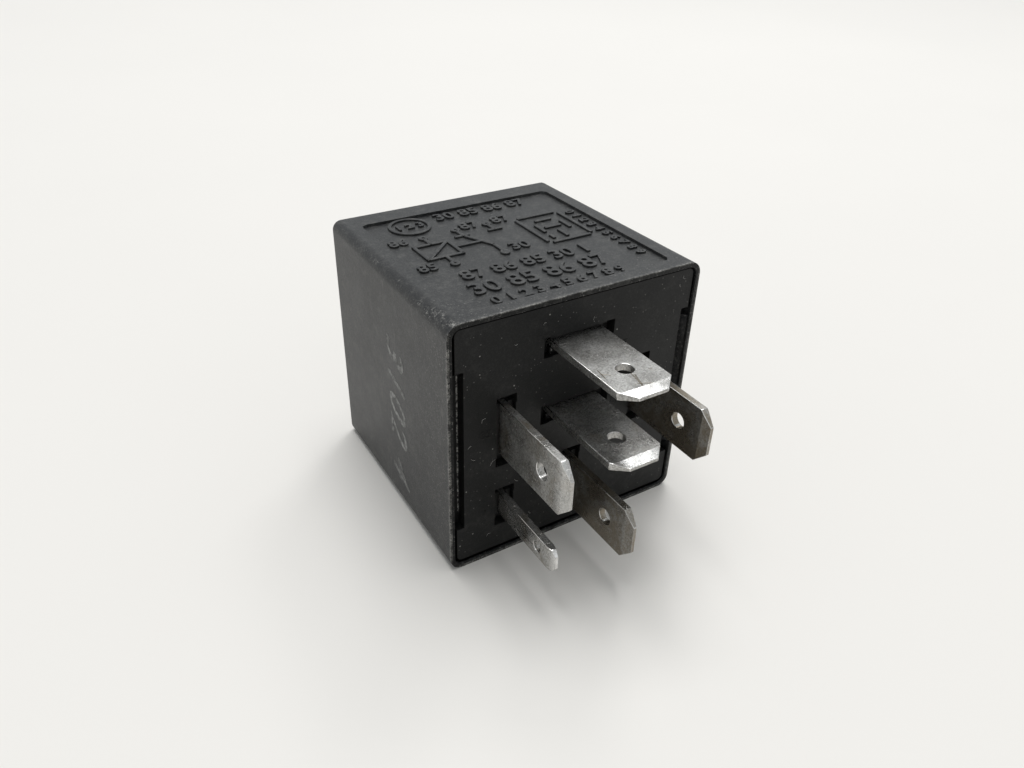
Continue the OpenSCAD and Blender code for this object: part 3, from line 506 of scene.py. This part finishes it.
def makeWinding():
    look = winding
    finish, tree, shader = newFinish("enamelled_copper_wire", metallic=0.85)
    clouds = noiseOf(tree, placeOf(tree), *look["clouds"])
    turns = addNode(tree, "ShaderNodeTexWave", {"Vector": placeOf(tree, turn=(lean, 0, 0)),
                                                "Scale": look["waveLength"] / look["wire"] / 2,
                                                "Distortion": 0.6, "Detail": 1.0,
                                                "Detail Scale": 0.4},
                    wave_type="BANDS", bands_direction="Y").outputs["Fac"]
    # painted shade: the wire is painted darker in the grooves between the turns, where the bump sinks
    ground = colourMix(tree, rangeOf(tree, turns, 0.1, 0.9), look["dark"], look["light"])
    ground = colourMix(tree, rangeOf(tree, clouds, 0.4, 0.75, 0.0, 0.5), ground, look["dark"])
    joinUp(tree, shader, ground, rangeOf(tree, clouds, 0.3, 0.7, *look["roughness"]),
           bumpOf(tree, turns, *look["turnBump"]))
    return finish


laminate = {
    "mask": (0.012, 0.085, 0.028), "deep": (0.006, 0.045, 0.016), "track": (0.030, 0.17, 0.055),
    "roughness": (0.25, 0.42), "trackBump": (0.7, 0.03 * mm),
    "pitch": 1.27 * mm, "width": 0.28,      # of the tracks, the width as a share of the pitch
    "clouds": (240.0, 4.0, 0.6), "regions": (190.0, 1.0, 0.4), "weave": 900.0,
    # the part of the regions' noise where tracks run across, and where they run up
    "levelFrom": 0.54, "uprightTo": 0.47,
}


def trackOf(tree, value, offset):
    # evenly spaced lines, one each pitch
    step = calc(tree, "ADD", calc(tree, "DIVIDE", value, laminate["pitch"]), offset)
    off = calc(tree, "ABSOLUTE", calc(tree, "SUBTRACT", calc(tree, "FRACT", step), 0.5))
    return rangeOf(tree, off, laminate["width"] * 0.4, laminate["width"] * 0.5, 1.0, 0.0)


def makeLaminate():
    look = laminate
    finish, tree, shader = newFinish("green_board_laminate", specular=0.6)
    where = placeOf(tree, turn=(lean, 0, 0))
    clouds = noiseOf(tree, where, *look["clouds"])
    across, inwards, up = caseParts(tree)
    # tracks run across in some regions and up in others, with bare laminate between
    regions = noiseOf(tree, where, *look["regions"])
    level = calc(tree, "MULTIPLY", trackOf(tree, up, 0.1),
                 calc(tree, "GREATER_THAN", regions, look["levelFrom"]))
    upright = calc(tree, "MULTIPLY", trackOf(tree, across, 0.3),
                   calc(tree, "LESS_THAN", regions, look["uprightTo"]))
    path = calc(tree, "MAXIMUM", level, upright)
    weave = addNode(tree, "ShaderNodeTexWave", {"Vector": where, "Scale": look["weave"],
                                                "Distortion": 1.0},
                    bands_direction="DIAGONAL").outputs["Fac"]
    ground = colourMix(tree, rangeOf(tree, clouds, 0.3, 0.7), look["deep"], look["mask"])
    ground = colourMix(tree, calc(tree, "MULTIPLY", weave, 0.25), ground, look["track"])
    ground = colourMix(tree, path, ground, look["track"])
    joinUp(tree, shader, ground, rangeOf(tree, clouds, 0.3, 0.7, *look["roughness"]),
           bumpOf(tree, path, *look["trackBump"]))
    return finish


ink = {
    "colour": (0.34, 0.34, 0.33), "roughness": (0.5, 0.7),
    "gone": (1700.0, 6.0, 0.75), "patches": ((300.0, 2.0, 0.6), (0.3, 0.6, 0.4, 0.95)),
    "grain": (4800.0, 3.0, 0.7), "grainBump": (0.5, 0.01 * mm),
}


def makePrintFinish():
    # pale ink that has half rubbed away, so the plastic shows through
    finish, tree, shader = newFinish("worn_pale_ink", specular=0.3)
    where = placeOf(tree)
    gone = noiseOf(tree, where, *ink["gone"])
    left = calc(tree, "MULTIPLY", rangeOf(tree, gone, 0.36, 0.60),
                patchOf(tree, where, *ink["patches"]))
    ground = colourMix(tree, left, casePlastic["light"], ink["colour"])
    joinUp(tree, shader, ground, rangeOf(tree, gone, 0.3, 0.7, *ink["roughness"]),
           bumpOf(tree, noiseOf(tree, where, *ink["grain"]), *ink["grainBump"]))
    return finish


# mesh helpers

meshWork = {
    # distances under which points are merged, and under which a face counts as without area
    "weld": 0.002 * mm, "digitWeld": 0.001 * mm, "sliver": 0.0005 * mm,
    # angles in degrees: faces that lie in one plane, edges that are rounded, edges that stay sharp on
    # a dressed node and on a new piece, and the least and largest step between a hole's faces
    "level": 0.6, "rounded": 25, "sharp": 40, "sharpPiece": 35, "hole": (12, 25),
    # the normal of the slope on top of a tip: at least so far up, at least so far forwards
    "slope": (0.9, -0.1),
}


def clearSelection():
    if bpy.context.object and bpy.context.object.mode != "OBJECT":
        bpy.ops.object.mode_set(mode="OBJECT")
    bpy.ops.object.select_all(action="DESELECT")


def pickOnly(*pieces):
    clearSelection()
    for piece in pieces:
        piece.select_set(True)
    bpy.context.view_layer.objects.active = pieces[0]


def applyModifier(piece, kind, **settings):
    pickOnly(piece)
    modifier = piece.modifiers.new(kind.lower(), kind)
    for key, value in settings.items():
        setattr(modifier, key, value)
    bpy.ops.object.modifier_apply(modifier=modifier.name)


def smoothByAngle(piece, degrees):
    pickOnly(piece)
    bpy.ops.object.shade_smooth_by_angle(angle=math.radians(degrees))


def clearSlivers(piece):
    # faces without any area are folded into their neighbours
    pickOnly(piece)
    bpy.ops.object.mode_set(mode="EDIT")
    bpy.ops.mesh.select_all(action="SELECT")
    bpy.ops.mesh.dissolve_degenerate(threshold=meshWork["sliver"])
    bpy.ops.object.mode_set(mode="OBJECT")


def keepFlat(piece):
    # rounded edges and the walls of a hole are shaded smoothly and shine, every other face stays
    # flat, and the coined slope on top of a tip shines too
    sides = {}
    for face in piece.data.polygons:
        for key in face.edge_keys:
            sides.setdefault(key, []).append(face)
    least, most = (math.radians(degrees) for degrees in meshWork["hole"])
    curved = set()
    for pair in sides.values():
        plain = len(pair) == 2 and pair[0].material_index == pair[1].material_index == 0
        if plain and least < pair[0].normal.angle(pair[1].normal, 0) < most:
            curved.update(face.index for face in pair)
    up, forwards = meshWork["slope"]
    for face in piece.data.polygons:
        face.use_smooth = face.material_index == 1 or face.index in curved
        if face.index in curved or (face.normal.z > up and face.normal.y < forwards):
            face.material_index = 1


def dressCopy(nodeName, pieceName, finish, edge, edgeFinish=None, flat=False):
    # a merged copy of a CAD node, with its sharp edges rounded and its faces shaded smoothly
    piece = nodes[nodeName].copy()
    piece.data = nodes[nodeName].data.copy()
    scene.collection.objects.link(piece)
    piece.name = piece.data.name = pieceName
    matrix = nodes[nodeName].matrix_world.copy()
    piece.parent = None
    piece.matrix_world = matrix
    pickOnly(piece)
    bpy.ops.mesh.customdata_custom_splitnormals_clear()
    bpy.ops.object.mode_set(mode="EDIT")
    bpy.ops.mesh.select_all(action="SELECT")
    bpy.ops.mesh.remove_doubles(threshold=meshWork["weld"])
    if not flat:
        bpy.ops.mesh.dissolve_limited(angle_limit=math.radians(meshWork["level"]))
    bpy.ops.object.mode_set(mode="OBJECT")
    piece.data.materials.clear()
    piece.data.materials.append(finish)
    if edgeFinish:
        piece.data.materials.append(edgeFinish)
    applyModifier(piece, "BEVEL", width=edge, segments=2, limit_method="ANGLE",
                  angle_limit=math.radians(meshWork["rounded"]), use_clamp_overlap=True,
                  miter_outer="MITER_ARC", material=1 if edgeFinish else -1)
    if not flat:
        clearSlivers(piece)
    smoothByAngle(piece, meshWork["sharp"])
    if flat:
        keepFlat(piece)
    else:
        applyModifier(piece, "WEIGHTED_NORMAL", keep_sharp=True, weight=60)
    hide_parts(nodeName)
    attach(piece, "relay_body")
    return piece


def settle(piece):
    # put an object's place into its mesh, so that it sits at the origin
    pickOnly(piece)
    bpy.ops.object.transform_apply(location=True, rotation=True, scale=True)
    return piece


def joinPieces(pieces, name):
    pickOnly(*pieces)
    if len(pieces) > 1:
        bpy.ops.object.join()
    whole = bpy.context.object
    whole.name = whole.data.name = name
    return whole


def makeDigits(text, place, size, space, settings, turn=0, slant=0.0):
    clearSelection()
    bpy.ops.object.text_add()
    words = bpy.context.object
    words.data.body = text
    words.data.size = size
    words.data.align_x = words.data.align_y = "CENTER"
    words.data.shear = slant
    words.data.offset = settings["swell"]
    words.data.extrude = settings["rise"]
    words.data.bevel_depth = settings["round"]
    words.data.bevel_resolution = 1
    words.data.resolution_u = 4
    words.data.space_character = settings.get("space", 1.0)
    bpy.ops.object.convert(target="MESH")
    digits = bpy.context.object
    digits.matrix_world = space @ moved(*place, settings["lift"]) @ turned(turn, "Z")
    settle(digits)
    bpy.ops.object.mode_set(mode="EDIT")
    bpy.ops.mesh.select_all(action="SELECT")
    bpy.ops.mesh.remove_doubles(threshold=meshWork["digitWeld"])
    bpy.ops.mesh.normals_make_consistent(inside=False)
    bpy.ops.object.mode_set(mode="OBJECT")
    return digits


def makeBar(start, end, settings, space):
    # one raised stroke from start to end
    start, end = Vector(start), Vector(end)
    run = end - start
    wide = settings["stroke"]
    clearSelection()
    bpy.ops.mesh.primitive_cube_add(size=1, scale=(run.length + wide, wide, 2 * settings["rise"]))
    bar = bpy.context.object
    bar.matrix_world = (space @ moved(*((start + end) / 2), settings["lift"])
                        @ turned(math.degrees(math.atan2(run.y, run.x)), "Z") @ bar.matrix_world)
    settle(bar)
    applyModifier(bar, "BEVEL", width=settings["round"], segments=2)
    return bar


def makeRing(middle, radius, settings, space, filled=False):
    clearSelection()
    bpy.ops.mesh.primitive_cylinder_add(vertices=32, radius=radius, depth=2 * settings["rise"],
                                        end_fill_type="NGON")
    ring = bpy.context.object
    if not filled:
        bpy.ops.object.mode_set(mode="EDIT")
        bpy.ops.mesh.select_mode(type="FACE")
        bpy.ops.mesh.select_all(action="DESELECT")
        bpy.ops.object.mode_set(mode="OBJECT")
        for face in ring.data.polygons:
            face.select = abs(face.normal.z) > 0.9
        bpy.ops.object.mode_set(mode="EDIT")
        bpy.ops.mesh.inset(thickness=settings["stroke"])
        bpy.ops.mesh.bridge_edge_loops()
        bpy.ops.mesh.select_all(action="SELECT")
        bpy.ops.mesh.normals_make_consistent(inside=False)
        bpy.ops.object.mode_set(mode="OBJECT")
    ring.matrix_world = space @ moved(*middle, settings["lift"])
    settle(ring)
    applyModifier(ring, "BEVEL", width=settings["round"], segments=2, limit_method="ANGLE",
                  angle_limit=math.radians(meshWork["sharp"]))
    return ring


def finishPiece(piece, finish):
    piece.data.materials.clear()
    piece.data.materials.append(finish)
    clearSlivers(piece)
    smoothByAngle(piece, meshWork["sharpPiece"])
    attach(piece, "relay_body")


# case, base and terminals

edges = {"cover": 0.11 * mm, "terminal_base": 0.05 * mm, "blade": 0.06 * mm}

caseFinish = makeCasePlastic("case_plastic_worn", rubbed=0.5)
caseEdgeFinish = makeCasePlastic("case_plastic_rubbed_edge", rubbed=0.85, behind=0.12)
baseFinish = makeBasePlastic()
cover = dressCopy("cover", "cover_rounded", caseFinish, edges["cover"], caseEdgeFinish)
base = dressCopy("terminal_base", "terminal_base_rounded", baseFinish, edges["terminal_base"])
print("case and base made")

bladeEdgeFinish = makeTinPlate("tin_plate_rubbed_edge", brown=0.0, edge=True)
blades = {
    "terminal_top": {"brown": 0.05, "marked": True},
    "terminal_centre": {"brown": 0.25},
    "terminal_left": {"brown": 0.45, "dented": 0.25},
    "terminal_right": {"brown": 1.05},
    "terminal_bottom": {"brown": 1.1},
    "terminal_control": {"brown": 0.5, "dented": 0.9},
}
for name, wear in blades.items():
    tin = makeTinPlate("tin_plate_" + name.split("_")[1], **wear)
    blade = dressCopy(name, name + "_blade", tin, edges["blade"], bladeEdgeFinish, flat=True)
print("terminals made")


# raised marks in the label field: strokes and rings, and the digits, which are a little lower.
# Places are across and inwards, in mm.

raised = {
    "stroke": 0.42 * mm, "rise": 0.15 * mm, "round": 0.07 * mm, "lift": -0.27 * mm,
    "swell": 0.025 * mm,
    # a generic diagram: a coil box with its two leads, and a change-over contact
    "diagram": (((-9.6, 14.2), (-5.6, 14.2)), ((-9.6, 17.8), (-5.6, 17.8)),
                ((-9.6, 14.2), (-9.6, 17.8)), ((-5.6, 14.2), (-5.6, 17.8)),
                ((-9.2, 14.5), (-6.0, 17.5)), ((-7.6, 17.8), (-7.6, 19.4)),
                ((-7.6, 12.5), (-7.6, 14.2)), ((-1.6, 12.5), (-1.6, 14.6)),
                ((-1.6, 14.6), (-3.2, 17.9)), ((-3.4, 18.3), (-3.4, 19.8)),
                ((0.6, 18.3), (0.6, 19.8)), ((-4.2, 18.3), (-2.8, 18.3)),
                ((0.0, 18.3), (1.4, 18.3)), ((-5.2, 16.0), (-2.6, 16.0))),
    # one filled terminal, four open ones, and the large ring
    "rings": (((-1.6, 12.2), 0.55, True), ((-7.6, 19.7), 0.55, False), ((-7.6, 12.2), 0.55, False),
              ((-3.4, 20.1), 0.55, False), ((0.6, 20.1), 0.55, False), ((-7.4, 23.5), 2.45, False)),
    # the plain terminal numbers, small beside the diagram and in rows along the back and the front
    "numbers": (("86", -10.6, 19.6, 2.2), ("85", -10.6, 12.4, 2.2), ("87", -1.4, 20.6, 2.4),
                ("87", 2.7, 20.6, 2.4), ("30", 0.7, 13.0, 2.4), ("1 2 3", -7.4, 23.5, 1.7),
                ("30 85 86 87", 2.2, 24.4, 2.5), ("87 86 85 30 1", -0.8, 9.0, 2.8),
                ("30 85 86 87", -1.2, 5.75, 3.4), ("0 1 2 3 4 5 6 7 8 9", -0.8, 2.85, 2.1)),
    # a plan of the six blades inside a plain square
    "plan": (((4.6, 12.0), (9.2, 12.0)), ((4.6, 19.6), (9.2, 19.6)), ((4.0, 12.6), (4.0, 19.0)),
             ((9.8, 12.6), (9.8, 19.0)), ((6.0, 18.0), (7.8, 18.0)), ((6.0, 15.9), (7.8, 15.9)),
             ((5.2, 15.0), (5.2, 16.8)), ((8.6, 15.0), (8.6, 16.8)), ((6.9, 13.0), (6.9, 14.6)),
             ((5.2, 13.1), (5.2, 13.7))),
    # a scale down the right side
    "scale": ("0 1 2 3 4 5 6 7 8 9", 11.1, 12.0, 1.6), "scaleSpace": 1.15,
}
lettering = {**raised, "round": 0.03 * mm, "rise": 0.11 * mm}


def makeLabelRelief():
    pieces = []
    for start, end in raised["diagram"]:
        pieces.append(makeBar(inMm(*start), inMm(*end), raised, topSpace))
    for middle, radius, filled in raised["rings"]:
        pieces.append(makeRing(inMm(*middle), radius * mm, raised, topSpace, filled))
    for text, x, y, size in raised["numbers"]:
        pieces.append(makeDigits(text, inMm(x, y), size * mm, topSpace, lettering))
    for start, end in raised["plan"]:
        pieces.append(makeBar(inMm(*start), inMm(*end), raised, topSpace))
    text, x, y, size = raised["scale"]
    spaced = {**lettering, "space": raised["scaleSpace"]}
    pieces.append(makeDigits(text, inMm(x, y), size * mm, topSpace, spaced, turn=-90))
    return joinPieces(pieces, "label_relief")


finishPiece(makeLabelRelief(), caseFinish)
print("label field made")


# small marks on the base, and the worn print on the left wall

baseMarks = {
    "rise": 0.03 * mm, "round": 0.012 * mm, "lift": 0.0, "swell": 0.01 * mm, "size": 1.35 * mm,
    # across, and up from the middle, in mm
    "numbers": (("87", 5.6, 7.4), ("87", 5.4, 0.6), ("85", -10.8, 1.6), ("86", 11.2, 1.6),
                ("30", 2.3, -8.6), ("1", -10.8, -8.8)),
}


def makeBaseMarks():
    pieces = [makeDigits(text, inMm(x, z), baseMarks["size"], baseSpace, baseMarks)
              for text, x, z in baseMarks["numbers"]]
    return joinPieces(pieces, "base_marks")


finishPiece(makeBaseMarks(), baseFinish)

sidePrint = {
    "text": "3102 4", "place": inMm(-12.6, 13.4), "size": 5.9 * mm, "slant": 0.35,
    "rise": 0.004 * mm, "round": 0.0, "lift": 0.006 * mm, "swell": 0.05 * mm, "space": 1.15,
}


def makeSidePrint():
    digits = makeDigits(sidePrint["text"], sidePrint["place"], sidePrint["size"], leftSpace,
                        sidePrint, turn=-90, slant=sidePrint["slant"])
    return joinPieces([digits], "side_print")


finishPiece(makeSidePrint(), makePrintFinish())
print("marks and print made")


# lint on the base

lint = {
    "count": 16, "seed": 11, "radius": 0.012 * mm, "length": inMm(0.35, 1.1), "sway": (0.06, 0.22),
    "across": (-13, 13), "up": (-13.5, 13.5), "lift": 0.02 * mm,
    "light": (0.62, 0.61, 0.58), "dark": (0.42, 0.41, 0.39), "roughness": (0.6, 0.8),
}


def makeLint():
    rng = random.Random(lint["seed"])
    fibres = []
    for i in range(lint["count"]):
        length = rng.uniform(*lint["length"])
        x, z = rng.uniform(*lint["across"]) * mm, rng.uniform(*lint["up"]) * mm
        clearSelection()
        bpy.ops.mesh.primitive_cylinder_add(vertices=5, radius=lint["radius"], depth=length)
        fibre = bpy.context.object
        bpy.ops.object.mode_set(mode="EDIT")
        bpy.ops.mesh.select_all(action="SELECT")
        bpy.ops.mesh.subdivide(number_cuts=3)
        bpy.ops.object.mode_set(mode="OBJECT")
        sway = rng.uniform(*lint["sway"])
        for vertex in fibre.data.vertices:
            along = vertex.co.z / length
            vertex.co.x += sway * length * math.cos(along * math.pi * 1.6)
        fibre.matrix_world = (baseSpace @ moved(x, z, lint["lift"])
                              @ Matrix.Rotation(rng.uniform(0, math.pi), 4, "Z")
                              @ turned(90, "Y") @ turned(90, "Z"))
        fibres.append(settle(fibre))
    return joinPieces(fibres, "lint")


finishPiece(makeLint(), makeMoulded("pale_lint", lint["light"], lint["dark"], lint["roughness"]))
print("lint made")


# finishes of the parts inside

resistor = {
    "light": (0.55, 0.42, 0.26), "dark": (0.36, 0.25, 0.14), "roughness": (0.2, 0.35),
    "radius": 1.1, "depth": (7.3, 13.3),
    "bandsAt": inMm(8.2, 9.6, 10.7, 12.2), "bandHalf": 0.24 * mm,
}
bandColours = {
    "brown": (0.12, 0.045, 0.02), "black": (0.01, 0.01, 0.01), "red": (0.45, 0.02, 0.015),
    "orange": (0.70, 0.17, 0.02), "gold": (0.40, 0.28, 0.09), "yellow": (0.70, 0.50, 0.03),
}


def makeResistorFinish(name, x, z, *colours):
    bands = [(place, resistor["bandHalf"], bandColours[colour])
             for place, colour in zip(resistor["bandsAt"], colours)]
    body = roundBody(x, z, resistor["radius"], *resistor["depth"])
    return makeMoulded(name + "_lacquer", resistor["light"], resistor["dark"], resistor["roughness"],
                       900.0, body, bands)


# light colour, dark colour, roughness, scale of the clouds, and the stretch of the rolling lines
softIron = makeMetal("soft_iron_zinc", (0.50, 0.50, 0.48), (0.30, 0.29, 0.27), (0.28, 0.45), 600.0,
                     (1, 0.1, 1))
bronze = makeMetal("spring_bronze_strip", (0.62, 0.36, 0.17), (0.38, 0.20, 0.09), (0.2, 0.36), 700.0,
                   (1, 0.08, 1))
silver = makeMetal("contact_silver", (0.78, 0.76, 0.72), (0.50, 0.47, 0.42), (0.16, 0.34), 1400.0)
leadTin = makeMetal("tinned_lead", moulded["lead"], (0.38, 0.38, 0.36), (0.22, 0.4), 900.0)
steelWire = makeMetal("spring_steel_wire", (0.46, 0.46, 0.47), (0.24, 0.24, 0.25), (0.18, 0.34),
                      1200.0)
coreIron = makeMetal("turned_core_iron", (0.48, 0.47, 0.45), (0.28, 0.27, 0.26), (0.24, 0.4), 800.0)
# bodies are given by their place across and up, their radius or half size, and where they start and
# end inwards from the mouth, all in mm
inside = {
    "circuit_board": makeLaminate(),
    "coil_bobbin": makeMoulded("bobbin_plastic", (0.60, 0.57, 0.50), (0.42, 0.39, 0.33), (0.35, 0.5)),
    "coil_winding": makeWinding(),
    "coil_pins": leadTin,
    "iron_core": coreIron,
    "yoke": softIron,
    "armature": softIron,
    "contact_leaf": bronze,
    "moving_contact": silver,
    "return_spring": steelWire,
    "make_carrier": leadTin,
    "break_carrier": leadTin,
    "make_contact": silver,
    "break_contact": silver,
    "timer_chip": makeMoulded(
        "chip_epoxy", (0.028, 0.028, 0.030), (0.014, 0.014, 0.015), (0.5, 0.68),
        body=squareBody(5.6, 7.2, 4.8, 3.2, 8.1, 11.3)),
    "electrolytic_capacitor": makeMoulded(
        "capacitor_sleeve", (0.020, 0.035, 0.10), (0.010, 0.018, 0.06), (0.22, 0.36),
        body=roundBody(9.2, -7.9, 3.15, 7.3, 18.22, stripe=2.75 * mm)),
    "film_capacitor": makeMoulded(
        "film_capacitor_epoxy", (0.42, 0.10, 0.04), (0.27, 0.06, 0.025), (0.25, 0.4),
        body=squareBody(5.0, -3.1, 1.25, 2.3, 7.3, 13.8)),
    "switching_transistor": makeMoulded(
        "transistor_epoxy", (0.030, 0.030, 0.031), (0.016, 0.016, 0.017), (0.45, 0.62),
        body=roundBody(10.075, -2.0, 2.3, 8.3, 12.9)),
    "suppression_diode": makeMoulded(
        "diode_epoxy", (0.035, 0.034, 0.034), (0.018, 0.018, 0.018), (0.3, 0.45),
        body=roundBody(1.225, -3.4, 1.0, 7.3, 11.9),
        bands=((11.1 * mm, 0.35 * mm, (0.55, 0.55, 0.54)),)),
    "resistor_1": makeResistorFinish("resistor_1", 3.4, -11.8, "brown", "black", "red", "gold"),
    "resistor_2": makeResistorFinish("resistor_2", 3.4, -6.8, "yellow", "black", "orange", "gold"),
    "resistor_3": makeResistorFinish("resistor_3", 12.0, 1.9, "red", "red", "brown", "gold"),
    "resistor_4": makeResistorFinish("resistor_4", 4.4, 0.7, "orange", "orange", "brown", "gold"),
}
for name, finish in inside.items():
    nodes[name].data.materials.clear()
    nodes[name].data.materials.append(finish)
print("inner finishes given")


# floor and light

floorLook = {
    "size": 6, "dark": (0.81, 0.79, 0.755), "light": (0.84, 0.82, 0.785), "roughness": (0.55, 0.65),
    "clouds": (9.0, 4.0, 0.6),
}
light = {
    "colour": (0.955, 0.985, 1.0), "world": 0.42, "backdrop": 0.78,
    "lamps": (
        # name, place, aim, width, watts
        ("overhead", (0.19, 0.53, 3.0), (0, 0, 0.01), 1.9, 62.0),
        ("behind", (0.226, 0.204, 0.403), (0, 0, 0.012), 0.11, 0.29),
    ),
}


def makeFloor():
    finish, tree, shader = newFinish("plain_pale_floor", specular=0.3)
    clouds = noiseOf(tree, placeOf(tree), *floorLook["clouds"])
    ground = colourMix(tree, clouds, floorLook["dark"], floorLook["light"])
    joinUp(tree, shader, ground, rangeOf(tree, clouds, 0.3, 0.7, *floorLook["roughness"]))
    clearSelection()
    bpy.ops.mesh.primitive_plane_add(size=floorLook["size"])
    floor = bpy.context.object
    floor.name = "floor"
    floor.data.materials.append(finish)


def makeLight():
    for name, place, aim, wide, watts in light["lamps"]:
        clearSelection()
        bpy.ops.object.light_add(type="AREA", location=place)
        lamp = bpy.context.object
        lamp.name = name + "_lamp"
        lamp.rotation_euler = (Vector(aim) - Vector(place)).to_track_quat("-Z", "Y").to_euler()
        lamp.data.size = wide
        lamp.data.energy = watts
    sky = bpy.data.worlds.new("soft_room")
    sky.use_nodes = True
    scene.world = sky
    tree = sky.node_tree
    background = tree.nodes["Background"]
    background.inputs["Color"].default_value = (*light["colour"], 1)
    # the backdrop that the camera, gloss and glass see is pale, and the light that it gives is softer
    rays = addNode(tree, "ShaderNodeLightPath").outputs
    seen = calc(tree, "MAXIMUM", rays["Is Camera Ray"], rays["Is Glossy Ray"],
                rays["Is Transmission Ray"])
    strength = rangeOf(tree, seen, 0.0, 1.0, light["world"], light["backdrop"])
    tree.links.new(strength, background.inputs["Strength"])


makeFloor()
makeLight()
makeCamera()
print("floor, light and camera made")

clearSelection()
